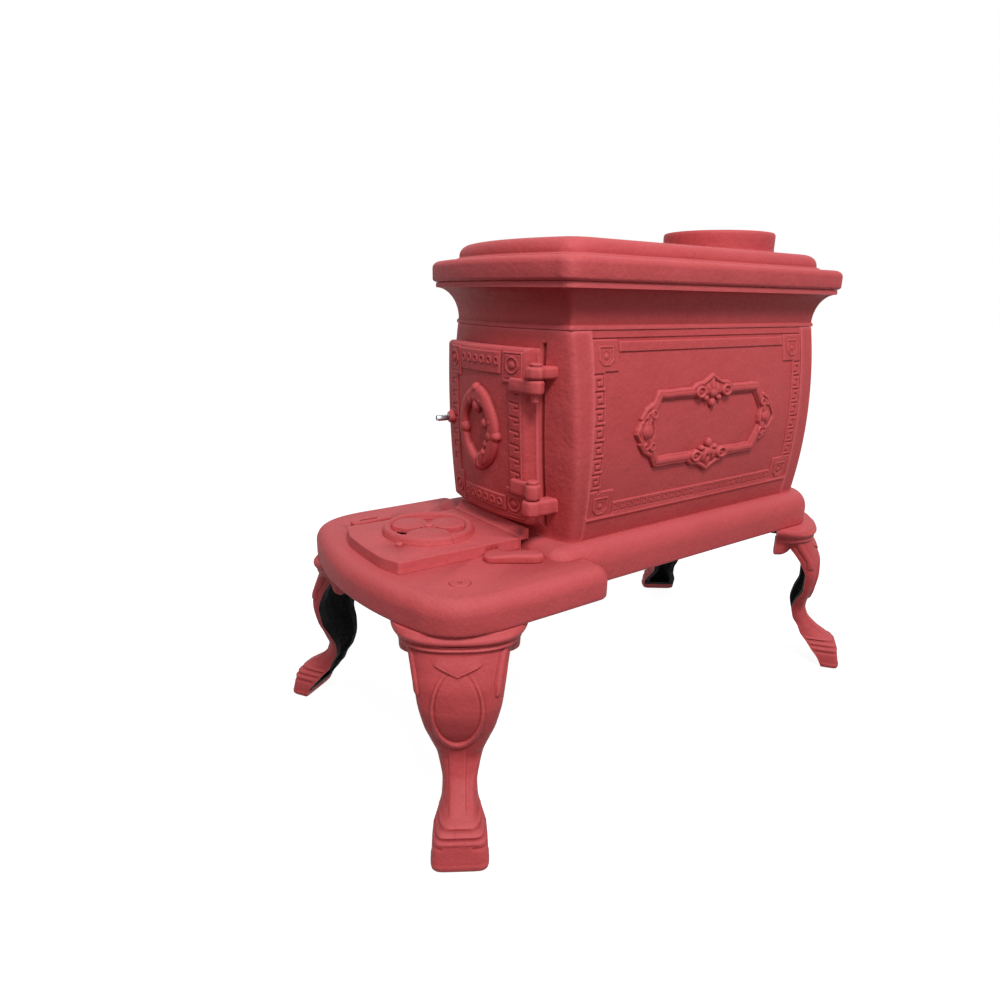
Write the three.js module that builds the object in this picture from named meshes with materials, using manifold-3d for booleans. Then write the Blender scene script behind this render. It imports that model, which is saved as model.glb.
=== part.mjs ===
// Small cast iron wood stove: a bowed firebox on a hearth base with four cabriole legs.
// Millimetres, +Z up, the door looks towards -Y. Heights are drawn from a datum just under the soles.
// The plan is drawn from the front body corners. At the end the stove is stood on the floor over the origin.
import * as THREE from 'three';
import { mergeVertices } from 'three/addons/utils/BufferGeometryUtils.js';
import Module from 'manifold-3d';

const wasm = await Module();
wasm.setup();

// Fits
const castGap = 0.3;
const slipGap = 0.4;
const swingGap = 1.2;
const leanGap = 0.7;
const overrun = 20;

// Counts and shares of a curve
const bowSteps = 10;
const barrelSteps = 7;
const roundSteps = 4;
const turnSteps = 24;
const boltSteps = 12;
const hexSides = 6;

// Main heights, one standing on the other
const rimBottomZ = 228.8;
const hearthDepth = 35.2;
const seatRise = 10.5;
const wallHeight = 235.1;
const corniceHeight = 48.9;
const flangeThickness = 25;
const panelRise = 19.7;
const collarRise = 27.4;
const hearthTopZ = rimBottomZ + hearthDepth;
const seatZ = hearthTopZ + seatRise;
const coveZ = seatZ + wallHeight;
const flangeZ = coveZ + corniceHeight;
const flangeTopZ = flangeZ + flangeThickness;
const panelTopZ = flangeTopZ + panelRise;
const collarTopZ = panelTopZ + collarRise;

// Walls of the firebox
const wallThickness = 6;
const footHalfWidth = 112.4;
const neckHalfWidth = 110.8;
const barrelSwell = 12;
const endBow = 22;
const frontLean = 12;
const rearY = 441.5;
const frontSeamY = 28;
const rearSeamIn = 30.5;
const rearSeamY = rearY - rearSeamIn;
const panelRecess = 2.4;
const plinthHeight = 26.5;
const plinthTopZ = seatZ + plinthHeight;
const wallSpan = footHalfWidth + barrelSwell + overrun;

// Cornice
const coveOverhang = 24;
const coveLipHeight = 4.5;
const coveLipReach = 0.4;
const coveThroat = 1.2;
const fasciaReach = 22.8;
const fasciaHeight = 6;

// Top plate
const flangeRound = 7;
const flangeCorner = 7;
const panelCorner = 17;
const panelInset = 24;
const panelRound = 14;
const panelFootStep = 3;
const panelFootHeight = 3;
const plateThickness = 7;
const cookHoleY = 130;
const cookHoleRadius = 76;
const cookRebate = 5;
const cookLidThickness = 6;
const cookLift = { notchWidth: 12, notchLength: 22, depth: 3 };
const collarIn = 80.5;
const collarY = rearY - collarIn;
const collarRadius = 75;
const collarWall = 6;
const collarRound = 3;
const flueHoleRadius = 51;
const collarEar = { width: 16, reach: 17, height: 6, screwIn: 9 };
const collarScrewReach = 4.5;

// Base and hearth
const hearthHalfWidth = 172;
const hearthFrontY = -217;
const hearthBowDepth = 39;
const hearthBowEndX = 127;
const hearthCornerReach = 68;
const hearthStepY = 24;
const hearthStepRadius = 18;
const hearthRound = 17;
const baseReach = 23.8;
const baseHalfWidth = footHalfWidth + baseReach;
const baseFrontY = -28;
const baseRearReach = 37.5;
const baseRearY = rearY + baseRearReach;
const baseCornerRadius = 48;
const baseRoundIn = 21;
const baseRoundDown = 25;
const rimTuck = 1;
const rimTuckHeight = 3;
const rimThickness = 8;
const hearthRoofThickness = 8;
const hearthRoofZ = hearthTopZ - hearthRoofThickness;
const seatRoofThickness = 10;
const seatRoofZ = seatZ - seatRoofThickness;

// Ash pit under the grate and its bottom plate
const tieIn = { side: 13.3, front: 8, rear: 9 };
const tieX = neckHalfWidth - tieIn.side;
const pitIn = { side: 13.5, front: 35, rear: 111.5, bottom: 9.7 };
const pit = {
  halfWidth: tieX - pitIn.side,
  frontY: hearthFrontY + pitIn.front,
  rearY: rearY - pitIn.rear,
  rib: 6,
  bottomZ: rimBottomZ + pitIn.bottom,
};
const bottomPlateThickness = 5;
const plateScrew = { radius: 2.5, headRadius: 5.5, headHeight: 2.6, bossRadius: 7, depth: 11, inset: 5 };
const ashHoleIn = { left: 36, right: 40, front: 20, back: 22 };
const ashHole = {
  x0: ashHoleIn.left - pit.halfWidth,
  x1: pit.halfWidth - ashHoleIn.right,
  y0: pit.frontY + ashHoleIn.front,
  y1: baseFrontY - ashHoleIn.back,
};
const grateIn = { front: 42, rear: 80 };
const grateHole = {
  halfWidth: 58,
  y0: frontSeamY + grateIn.front,
  y1: pit.rearY - grateIn.rear,
  rebate: 7,
  depth: 5.4,
};
const grateBar = { count: 7, thickness: 9, frame: 10, height: 9 };

// Legs: where each bolt stands and which way its foot points, in degrees from +X
const legBoltIn = { side: 55, front: 77 };
const legBolt = { x: hearthHalfWidth - legBoltIn.side, y: hearthFrontY + legBoltIn.front };
const rearBoltIn = { side: 36.1, rear: 35.1 };
const rearBolt = { x: baseHalfWidth - rearBoltIn.side, y: baseRearY - rearBoltIn.rear };
const frontLegTurn = -32.2;
const rearLegTurn = 36;
const legReach = 106.5;
const legHalfWidth = 52;
const legWall = 6.5;
const legPlateThickness = 8;
const legBossRadius = 14;
const soleZ = 5;
const soleTopZ = 21;
const legShoulderDrop = { ear: 35.4, foot: 21.3, mould: 8.8 };
const legShoulder = {
  earZ: rimBottomZ - legShoulderDrop.ear,
  bottomZ: rimBottomZ - legShoulderDrop.foot,
  mouldZ: rimBottomZ - legShoulderDrop.mould,
  ridge: 49.8,
  open: -8,
  half: 69.4,
  footIn: { ridge: 3.6, half: 5.4 },
  topIn: { ridge: 6.2, half: -1.8 },
  earIn: { ridge: 28, half: 6 },
};
const legTopZ = rimBottomZ - castGap;
const legSquareness = 2.5;
const legArcSteps = 8;
// Each row: share of the height up to the shoulder, shares of the reach for the outer ridge and the
// open edge, and share of the half width.
const legStationShares = [
  [0, 0.967, 0.789, 0.385],
  [0.015, 1, 0.77, 0.53],
  [0.045, 1, 0.742, 0.538],
  [0.085, 0.986, 0.7, 0.535],
  [0.135, 0.967, 0.62, 0.51],
  [0.19, 0.925, 0.535, 0.423],
  [0.24, 0.826, 0.45, 0.346],
  [0.3, 0.657, 0.376, 0.327],
  [0.37, 0.53, 0.29, 0.36],
  [0.45, 0.484, 0.263, 0.413],
  [0.53, 0.502, 0.31, 0.538],
  [0.62, 0.549, 0.385, 0.717],
  [0.72, 0.577, 0.385, 0.856],
  [0.825, 0.568, 0.31, 0.913],
  [0.925, 0.498, 0.178, 0.96],
  [1, 0.432, 0.047, 1],
];

// Leg fasteners
const legBoltSize = {
  radius: 4,
  headRadius: 10.8,
  headHeight: 3.6,
  proud: 1,
  dimpleRadius: 2.4,
  dimpleDepth: 1.6,
};
const legNut = { across: 13, height: 6.5, tail: 2.5 };
const rearScrew = { across: 14, headHeight: 5, grip: 22, spare: 3 };

// Tie rods in the four inside corners
const tie = {
  x: tieX,
  frontY: frontSeamY + tieIn.front,
  rearY: rearSeamY - tieIn.rear,
  radius: 4,
  headAcross: 13,
  nutHeight: 6.5,
  tail: 3,
  bossRadius: 9,
  bossDrop: 26,
  cover: 6,
};

// Door and its frame opening
const openingTopIn = 29.6;
const opening = { x0: -81, x1: 72, z0: plinthTopZ, z1: coveZ - openingTopIn };
const doorLap = { left: 7, right: 9, low: 10, top: 10 };
const door = {
  x0: opening.x0 - doorLap.left,
  x1: opening.x1 + doorLap.right,
  z0: opening.z0 - doorLap.low,
  z1: opening.z1 + doorLap.top,
  bevel: 8,
  leftBevel: 3,
  proud: 18,
  bevelDrop: 13,
  skin: 7,
  rim: 8,
  backGap: 0.9,
};
const doorBandIn = { top: 4, topLow: 35, low: 5, lowTop: 25 };
const doorBand = {
  squareIn: 36,
  squareOut: 71,
  topZ: door.z1 - doorBandIn.top,
  topLowZ: door.z1 - doorBandIn.topLow,
  lowZ: door.z0 + doorBandIn.low,
  lowTopZ: door.z0 + doorBandIn.lowTop,
  columnIn: 54,
  columnOut: 71,
  relief: 1.4,
};
const wreathRise = 95;
const wreath = {
  z: opening.z0 + wreathRise,
  halfWidth: 30,
  halfHeight: 43,
  tube: 9,
  relief: 4.5,
  bead: 10,
  beadRelief: 5.9,
};
const linerIn = { left: 23, right: 8, low: 7, top: 8 };
const liner = {
  x0: opening.x0 + linerIn.left,
  x1: opening.x1 - linerIn.right,
  z0: opening.z0 + linerIn.low,
  z1: opening.z1 - linerIn.top,
  near: 3.2,
  far: 7.2,
};
const linerScrewIn = { low: 42, top: 40 };
const linerScrew = {
  zs: [liner.z0 + linerScrewIn.low, liner.z1 - linerScrewIn.top],
  radius: 2.3,
  headRadius: 5,
  headHeight: 2.4,
  bossRadius: 6.5,
  depth: 9,
};

// Hinge
const hingeOut = 8;
const hinge = { x: door.x1 + hingeOut, y: -28, knuckle: 11, pinRadius: 4.3, headRadius: 7, headHeight: 3.6 };
const lugGap = 0.8;
const lugHeight = { bodyUpper: 13, doorUpper: 15.6, doorLower: 17.8, bodyLower: 17.4 };
const upperLugDrop = 7.6;
const lowerLugRise = 8;
const pinTail = { upper: 9, lower: 6 };
const upperBodyLow = opening.z1 - upperLugDrop - lugHeight.bodyUpper;
const upperDoorLow = upperBodyLow - lugGap - lugHeight.doorUpper;
const upperHinge = {
  bodyLow: upperBodyLow,
  bodyTop: upperBodyLow + lugHeight.bodyUpper,
  doorLow: upperDoorLow,
  doorTop: upperDoorLow + lugHeight.doorUpper,
  pinLow: upperDoorLow - pinTail.upper,
};
const lowerBodyLow = opening.z0 + lowerLugRise;
const lowerDoorLow = lowerBodyLow + lugHeight.bodyLower + lugGap;
const lowerHinge = {
  bodyLow: lowerBodyLow,
  bodyTop: lowerBodyLow + lugHeight.bodyLower,
  doorLow: lowerDoorLow,
  doorTop: lowerDoorLow + lugHeight.doorLower,
  pinLow: lowerBodyLow - pinTail.lower,
};
const bodyArmAt = { inside: 1, outside: 14 };
const bodyArm = { inX: hinge.x - bodyArmAt.inside, outX: hinge.x + bodyArmAt.outside, backY: 4 };
const doorArm = { inX: 52, proud: 4.5, sunk: 5 };

// Latch
const latchIn = { side: 17, rise: 96 };
const latch = {
  x: door.x0 + latchIn.side,
  z: opening.z0 + latchIn.rise,
  shank: 4.2,
  frontY: -55,
  noseLength: 3,
  noseRadius: 3.2,
  bossRadius: 10.5,
  bossTip: 6,
  bossLength: 8,
  tailRadius: 3,
  tailY: 14,
};
const cam = { y0: 2.2, y1: 7.2, hubRadius: 5.4, width: 8, reach: 23 };
const latchNut = { across: 9, height: 4 };

// Hearth cover with its draft disc
const coverIn = 26;
const sillDrop = 4;
const cover = {
  x0: -74,
  x1: 70,
  y0: hearthFrontY + coverIn,
  y1: baseFrontY,
  thickness: 13,
  sillTopZ: door.z0 - sillDrop,
  sillY: -20,
  backY: -17.4,
  sillLeft: -68,
  sillRight: 71,
  bodyGap: 1,
};
const coverCornerShares = [
  [0, 0.08],
  [0.236, 0.012],
  [0.528, 0],
  [0.79, 0.006],
  [0.972, 0.055],
  [1, 1],
  [0.056, 1],
];
const handle = { x0: 62, x1: 126, y0: -98, y1: -31, round: 3.5 };
const handleCornerShares = [
  [0.03, 0.36],
  [0.375, 0],
  [0.594, 0.06],
  [1, 0.657],
  [1, 0.836],
  [0.766, 1],
  [0, 0.567],
];
const stopNub = { x: 19.5, y: -157, radius: 4.2, height: 4 };
const disc = {
  x: -8,
  y: -104,
  outer: 54,
  inner: 42,
  ringHeight: 8,
  hub: 9,
  bladeHeight: 5.5,
  bladeHalfAngle: 31,
  bladeStart: 90,
  bladeCount: 3,
  tabWidth: 9,
  tabReach: 68,
  tabAngle: -110,
  tabHeight: 7,
};
const draftHole = { inner: 13, outer: 37, halfAngle: 22, turn: 30 };
const rivet = { radius: 3, headRadius: 5.5, headHeight: 3, tailRadius: 5, tailHeight: 2 };
const guide = { x0: -106, x1: -92, y0: -160, y1: -106, height: 9, slotX0: -101, slotX1: -96, slotY0: -150,
  slotY1: -126, slotDepth: 6 };

// Side panel ornament
const panelHalfLength = (rearSeamY - frontSeamY) / 2;
const sideIn = {
  square: 20,
  squareTop: 26.6,
  squareLow: 17,
  bandTop: 12.6,
  bandTopLow: 23.1,
  bandLowTop: 16,
};
const sideLayout = {
  midY: frontSeamY + panelHalfLength,
  squareY: panelHalfLength - sideIn.square,
  square: 37,
  topZ: coveZ - sideIn.squareTop,
  lowZ: plinthTopZ + sideIn.squareLow,
  squareHigh: 34,
  columnWidth: 16,
  bandTopZ: coveZ - sideIn.bandTop,
  bandTopLowZ: coveZ - sideIn.bandTopLow,
  bandLowTopZ: plinthTopZ + sideIn.bandLowTop,
  relief: 1.4,
};
const cartoucheIn = { end: 73.5, rise: 95.5 };
const sideCartouche = {
  z: plinthTopZ + cartoucheIn.rise,
  halfHeight: 40,
  halfLength: panelHalfLength - cartoucheIn.end,
  cut: 26,
  moulding: 9.5,
  relief: 4,
};
const cartoucheBoss = { halfWide: 19, halfHigh: 24, relief: 6.5 };
const cartoucheCrest = { halfWide: 24, halfHigh: 12, relief: 6.5 };

// Paint and metal colours
const primerRed = 0xa8484b;
const boltRed = 0x9c4346;
const bareSteel = 0x9aa0a6;
const darkIron = 0x4a4644;

const radians = (degrees) => THREE.MathUtils.degToRad(degrees);

// Turns a closed three.js geometry into a solid that can be joined and cut.
function toSolid(geometry) {
  const bare = geometry.clone();
  bare.deleteAttribute('normal');
  bare.deleteAttribute('uv');
  const welded = mergeVertices(bare);
  return new wasm.Manifold(new wasm.Mesh({
    numProp: 3,
    vertProperties: new Float32Array(welded.attributes.position.array),
    triVerts: new Uint32Array(welded.index.array),
  }));
}

// Turns a solid back into a three.js geometry.
function toGeometry(solid) {
  const mesh = solid.getMesh();
  const geometry = new THREE.BufferGeometry();
  geometry.setAttribute('position', new THREE.BufferAttribute(new Float32Array(mesh.vertProperties), 3));
  geometry.setIndex(new THREE.BufferAttribute(new Uint32Array(mesh.triVerts), 1));
  return geometry;
}

function joined(solids) {
  return solids.reduce((whole, next) => whole.add(next));
}

function cutAway(solid, cutters) {
  return cutters.reduce((rest, cutter) => rest.subtract(cutter), solid);
}

// Mirrors a geometry across the middle plane and keeps its faces outward.
function mirrorGeometry(geometry) {
  const copy = geometry.clone();
  copy.scale(-1, 1, 1);
  const index = copy.index.array;
  for (let i = 0; i < index.length; i += 3) {
    const second = index[i + 1];
    index[i + 1] = index[i + 2];
    index[i + 2] = second;
  }
  return copy;
}

function box(x0, x1, y0, y1, z0, z1) {
  const geometry = new THREE.BoxGeometry(x1 - x0, y1 - y0, z1 - z0);
  geometry.translate((x0 + x1) / 2, (y0 + y1) / 2, (z0 + z1) / 2);
  return toSolid(geometry);
}

// A round bar standing along Z.
function post(x, y, z0, z1, radius, steps = boltSteps) {
  const geometry = new THREE.CylinderGeometry(radius, radius, z1 - z0, steps);
  geometry.rotateX(Math.PI / 2);
  geometry.translate(x, y, (z0 + z1) / 2);
  return toSolid(geometry);
}

// A round bar lying along Y.
function bar(x, z, y0, y1, radius, steps = boltSteps) {
  const geometry = new THREE.CylinderGeometry(radius, radius, y1 - y0, steps);
  geometry.translate(x, (y0 + y1) / 2, z);
  return toSolid(geometry);
}

// A tapered bar along Y, with a radius for each end.
function taper(x, z, y0, y1, radius0, radius1, steps = boltSteps) {
  const geometry = new THREE.CylinderGeometry(radius1, radius0, y1 - y0, steps);
  geometry.translate(x, (y0 + y1) / 2, z);
  return toSolid(geometry);
}

function hexPost(x, y, z0, z1, across) {
  return post(x, y, z0, z1, across / Math.sqrt(3), hexSides);
}

function hexBar(x, z, y0, y1, across) {
  return bar(x, z, y0, y1, across / Math.sqrt(3), hexSides);
}

// Extrudes a plan outline along Z.
function slab(points, z0, z1) {
  const shape = new THREE.Shape(points);
  const geometry = new THREE.ExtrudeGeometry(shape, { depth: z1 - z0, bevelEnabled: false });
  geometry.translate(0, 0, z0);
  return toSolid(geometry);
}

// Extrudes an outline drawn in the Y and Z directions along X.
function sideSlab(points, x0, x1) {
  const shape = new THREE.Shape(points);
  const geometry = new THREE.ExtrudeGeometry(shape, { depth: x1 - x0, bevelEnabled: false });
  geometry.rotateX(Math.PI / 2);
  geometry.rotateZ(Math.PI / 2);
  geometry.translate(x0, 0, 0);
  return toSolid(geometry);
}

// Extrudes an outline drawn in the X and Z directions along Y, from the front backwards.
function frontSlab(points, y0, y1) {
  const shape = new THREE.Shape(points);
  const geometry = new THREE.ExtrudeGeometry(shape, { depth: y1 - y0, bevelEnabled: false });
  geometry.rotateX(Math.PI / 2);
  geometry.translate(0, y1, 0);
  return toSolid(geometry);
}

const point = (x, y) => new THREE.Vector2(x, y);
const toPoints = (pairs) => pairs.map(([x, y]) => point(x, y));

// Puts an outline given as shares of a plan area in its place.
function placedShares(area, shares) {
  return shares.map(([x, y]) => point(
    THREE.MathUtils.lerp(area.x0, area.x1, x),
    THREE.MathUtils.lerp(area.y0, area.y1, y),
  ));
}

function rectangle(x0, x1, y0, y1) {
  return [point(x0, y0), point(x1, y0), point(x1, y1), point(x0, y1)];
}

function ellipse(cx, cy, rx, ry, steps = turnSteps) {
  return Array.from({ length: steps }, (_, i) => {
    const angle = (2 * Math.PI * i) / steps;
    return point(cx + rx * Math.cos(angle), cy + ry * Math.sin(angle));
  });
}

// Skins a closed body over plan rings that climb in Z. Every ring runs counterclockwise.
function loft(rings) {
  const count = rings[0].points.length;
  const positions = [];
  rings.forEach((ring) => ring.points.forEach((p) => positions.push(p.x, p.y, ring.z)));
  const faces = [];
  for (let level = 0; level + 1 < rings.length; level += 1) {
    for (let i = 0; i < count; i += 1) {
      const a = level * count + i;
      const b = level * count + ((i + 1) % count);
      faces.push(a, b, b + count, a, b + count, a + count);
    }
  }
  const top = (rings.length - 1) * count;
  const bottomCap = THREE.ShapeUtils.triangulateShape(rings[0].points, []);
  const topCap = THREE.ShapeUtils.triangulateShape(rings[rings.length - 1].points, []);
  bottomCap.forEach(([a, b, c]) => faces.push(a, c, b));
  topCap.forEach(([a, b, c]) => faces.push(top + a, top + b, top + c));
  const geometry = new THREE.BufferGeometry();
  geometry.setAttribute('position', new THREE.Float32BufferAttribute(positions, 3));
  geometry.setIndex(faces);
  return toSolid(geometry);
}

// Moves every point of a counterclockwise outline inwards, or outwards for a negative distance.
function inset(points, distance) {
  return points.map((p, i) => {
    const before = points[(i + points.length - 1) % points.length];
    const after = points[(i + 1) % points.length];
    const one = p.clone().sub(before).normalize();
    const two = after.clone().sub(p).normalize();
    const normal = point(-one.y - two.y, one.x + two.x).normalize();
    const share = Math.max(normal.x * -one.y + normal.y * one.x, Math.SQRT1_2);
    return p.clone().addScaledVector(normal, distance / share);
  });
}

// Rings for a block with a rounded top edge and a small tuck at its foot.
function roundedBlock(outline, z0, z1, roundIn, roundDown, tuckIn, tuckHeight) {
  const rings = [{ points: inset(outline, tuckIn), z: z0 }];
  rings.push({ points: outline, z: z0 + tuckHeight });
  for (let i = 0; i <= roundSteps; i += 1) {
    const angle = (Math.PI / 2) * (i / roundSteps);
    rings.push({
      points: inset(outline, roundIn * (1 - Math.cos(angle))),
      z: z1 - roundDown * (1 - Math.sin(angle)),
    });
  }
  return loft(rings);
}

// Half width of the firebox at a height: a barrel between foot and neck.
function halfWidthAt(z) {
  const share = THREE.MathUtils.clamp((z - seatZ) / (coveZ - seatZ), 0, 1);
  const straight = THREE.MathUtils.lerp(footHalfWidth, neckHalfWidth, share);
  return straight + barrelSwell * 4 * share * (1 - share);
}

// How far the front has drawn back from the front body corner at a height.
function leanAt(z) {
  const share = THREE.MathUtils.clamp((coveZ - z) / (coveZ - seatZ), 0, 1);
  return frontLean * share * share;
}

// The bowed front face at a place across the stove and a height.
function frontFaceY(x, z) {
  const share = x / halfWidthAt(z);
  return leanAt(z) - endBow * (1 - share * share);
}

// Plan outline with bowed ends, counterclockwise from the left end of the front.
function bowedOutline(halfWidth, frontY, backY, cornerRound = 0) {
  const flat = halfWidth - cornerRound;
  const swellAt = (x) => endBow * (1 - (x / halfWidth) ** 2);
  const bow = Array.from({ length: bowSteps + 1 }, (_, i) => {
    const x = flat * ((2 * i) / bowSteps - 1);
    return point(x, -swellAt(x));
  });
  const corner = new THREE.QuadraticBezierCurve(
    point(flat, -swellAt(flat)),
    point(halfWidth, -swellAt(flat) / 2),
    point(halfWidth, cornerRound),
  ).getPoints(roundSteps);
  const right = cornerRound > 0 ? corner.slice(1) : [];
  const left = right.map((p) => point(-p.x, p.y)).reverse();
  const end = [...left, ...bow, ...right];
  return [...end.map((p) => point(p.x, frontY + p.y)), ...end.map((p) => point(-p.x, backY - p.y))];
}

// The body of the firebox walls, drawn in by a distance on every side.
function wallBody(drawnIn, z0, z1) {
  const rings = [];
  for (let i = 0; i <= barrelSteps; i += 1) {
    const z = THREE.MathUtils.lerp(z0, z1, i / barrelSteps);
    rings.push({
      points: bowedOutline(halfWidthAt(z) - drawnIn, leanAt(z) + drawnIn, rearY - drawnIn),
      z,
    });
  }
  return loft(rings);
}

// The body of the walls with only the sides moved, for panel fields and their ornament.
function sideBody(moved) {
  const z0 = seatZ + castGap;
  const z1 = coveZ - castGap;
  const rings = [];
  for (let i = 0; i <= barrelSteps; i += 1) {
    const z = THREE.MathUtils.lerp(z0, z1, i / barrelSteps);
    const half = halfWidthAt(z) + moved;
    rings.push({ points: rectangle(-half, half, frontSeamY, rearSeamY), z });
  }
  return loft(rings);
}

const wallLowZ = seatZ + castGap;
const wallHighZ = coveZ - castGap;

function wallShell() {
  const room = wallBody(wallThickness, wallLowZ - overrun, wallHighZ + overrun);
  return wallBody(0, wallLowZ, wallHighZ).subtract(room);
}

// Plan of the hearth, counterclockwise, with a bowed front and rounded corners.
function hearthOutline() {
  const rise = (x) => hearthBowDepth * (x / hearthHalfWidth) ** 2;
  const endY = hearthFrontY + rise(hearthBowEndX);
  const slope = (2 * hearthBowDepth * hearthBowEndX) / hearthHalfWidth ** 2;
  const cornerY = endY + slope * (hearthHalfWidth - hearthBowEndX);
  const right = [];
  for (let i = 0; i <= roundSteps; i += 1) {
    const x = hearthBowEndX * (i / roundSteps);
    right.push(point(x, hearthFrontY + rise(x)));
  }
  const corner = new THREE.QuadraticBezierCurve(
    point(hearthBowEndX, endY),
    point(hearthHalfWidth, cornerY),
    point(hearthHalfWidth, cornerY + hearthCornerReach),
  );
  right.push(...corner.getPoints(2 * roundSteps).slice(1));
  right.push(...quarter(hearthHalfWidth, hearthStepY, hearthStepRadius, 0));
  const left = right.slice(1).reverse().map((p) => point(-p.x, p.y));
  return [...right, ...left];
}

// A rounded corner in plan. The start angle is counted in quarter turns.
function quarter(cornerX, cornerY, radius, startQuarter) {
  const cx = cornerX - Math.sign(cornerX) * radius;
  const cy = cornerY - radius * (startQuarter < 2 ? 1 : -1);
  return Array.from({ length: roundSteps + 1 }, (_, i) => {
    const angle = (Math.PI / 2) * (startQuarter + i / roundSteps);
    return point(cx + radius * Math.cos(angle), cy + radius * Math.sin(angle));
  });
}

function baseOutline() {
  return [
    point(-baseHalfWidth, baseFrontY),
    point(baseHalfWidth, baseFrontY),
    ...quarter(baseHalfWidth, baseRearY, baseCornerRadius, 0),
    ...quarter(-baseHalfWidth, baseRearY, baseCornerRadius, 1),
  ];
}

// A block under the bowed foot of the front wall.
function frontSeat() {
  return loft([hearthRoofZ, seatZ].map((z) => ({
    points: bowedOutline(footHalfWidth, leanAt(seatZ), frontSeamY),
    z,
  })));
}

const grateLedgeZ = seatZ - grateHole.depth;

function baseHollow() {
  const low = rimBottomZ - overrun;
  return joined([
    slab(inset(hearthOutline(), rimThickness), low, hearthRoofZ),
    slab(inset(baseOutline(), rimThickness), low, seatRoofZ),
  ]);
}

// Ribs that close the ash pit on four sides.
function pitRibs() {
  const reach = pit.halfWidth + pit.rib;
  const outer = rectangle(-reach, reach, pit.frontY - pit.rib, pit.rearY + pit.rib);
  const inner = rectangle(-pit.halfWidth, pit.halfWidth, pit.frontY, pit.rearY);
  const topZ = hearthTopZ - castGap;
  const room = slab(inner, pit.bottomZ - overrun, hearthTopZ + overrun);
  const frame = slab(outer, pit.bottomZ, topZ).subtract(room);
  return frame.intersect(baseHollow().add(slab(outer, hearthRoofZ, topZ)));
}

function pitCorners() {
  const x = pit.halfWidth - plateScrew.inset;
  return [[-x, pit.frontY + plateScrew.inset], [x, pit.frontY + plateScrew.inset],
    [x, pit.rearY - plateScrew.inset], [-x, pit.rearY - plateScrew.inset]];
}

function tiePlaces() {
  return [[tie.x, tie.frontY], [-tie.x, tie.frontY], [tie.x, tie.rearY], [-tie.x, tie.rearY]];
}

function makeBase() {
  const shell = joined([
    roundedBlock(hearthOutline(), rimBottomZ, hearthTopZ, hearthRound, hearthRound, rimTuck, rimTuckHeight),
    roundedBlock(baseOutline(), rimBottomZ, seatZ, baseRoundIn, baseRoundDown, rimTuck, rimTuckHeight),
    frontSeat(),
  ]).subtract(baseHollow());
  const legBosses = [-1, 1].flatMap((side) => [
    post(side * legBolt.x, legBolt.y, rimBottomZ, hearthRoofZ + castGap, legBossRadius, turnSteps),
    post(side * rearBolt.x, rearBolt.y, rimBottomZ, seatRoofZ + castGap, legBossRadius, turnSteps),
  ]);
  const underTopZ = hearthTopZ - castGap;
  const screwBosses = pitCorners().map(([x, y]) => post(x, y, pit.bottomZ, underTopZ, plateScrew.bossRadius));
  const rib = box(guide.x0, guide.x1, guide.y0, guide.y1, underTopZ, hearthTopZ + guide.height);
  const body = joined([shell, pitRibs(), ...legBosses, ...screwBosses, rib]);
  return cutAway(body, baseCuts());
}

function baseCuts() {
  const boltHole = legBoltSize.radius + slipGap;
  const headHole = legBoltSize.headRadius + slipGap;
  const headSeatZ = hearthTopZ + legBoltSize.proud - legBoltSize.headHeight - castGap;
  const screwTopZ = rimBottomZ + rearScrew.grip + rearScrew.spare;
  const highZ = seatZ + overrun;
  const cuts = [-1, 1].flatMap((side) => [
    post(side * legBolt.x, legBolt.y, rimBottomZ - overrun, highZ, boltHole),
    post(side * legBolt.x, legBolt.y, headSeatZ, highZ, headHole, turnSteps),
    post(side * rearBolt.x, rearBolt.y, rimBottomZ - overrun, screwTopZ, boltHole),
  ]);
  pitCorners().forEach(([x, y]) => {
    const tapTopZ = pit.bottomZ + plateScrew.depth + castGap;
    cuts.push(post(x, y, pit.bottomZ - overrun, tapTopZ, plateScrew.radius + castGap));
  });
  tiePlaces().forEach(([x, y]) => cuts.push(post(x, y, seatRoofZ - overrun, highZ, tie.radius + slipGap)));
  cuts.push(box(ashHole.x0, ashHole.x1, ashHole.y0, ashHole.y1, hearthRoofZ - overrun, highZ));
  cuts.push(grateSpace(0, seatRoofZ - overrun), grateSpace(grateHole.rebate, grateLedgeZ));
  cuts.push(box(guide.slotX0, guide.slotX1, guide.slotY0, guide.slotY1,
    hearthTopZ + guide.height - guide.slotDepth, highZ));
  return cuts;
}

// Room for the grate in the seat, widened by a distance on every side.
function grateSpace(wider, lowZ) {
  const half = grateHole.halfWidth + wider;
  return box(-half, half, grateHole.y0 - wider, grateHole.y1 + wider, lowZ, seatZ + overrun);
}

// The bottom plate of the ash pit.
function makeBottomPlate() {
  const top = pit.bottomZ - castGap;
  const reach = pit.rib;
  const plate = box(-pit.halfWidth - reach, pit.halfWidth + reach, pit.frontY - reach, pit.rearY + reach,
    top - bottomPlateThickness, top);
  const hole = plateScrew.radius + castGap;
  return cutAway(plate, pitCorners().map(([x, y]) => post(x, y, top - overrun, top + overrun, hole)));
}

function makePlateScrew(x, y) {
  const seat = pit.bottomZ - castGap - bottomPlateThickness - castGap;
  return joined([
    post(x, y, seat - plateScrew.headHeight, seat, plateScrew.headRadius),
    post(x, y, seat - castGap, pit.bottomZ + plateScrew.depth, plateScrew.radius),
  ]);
}

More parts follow.
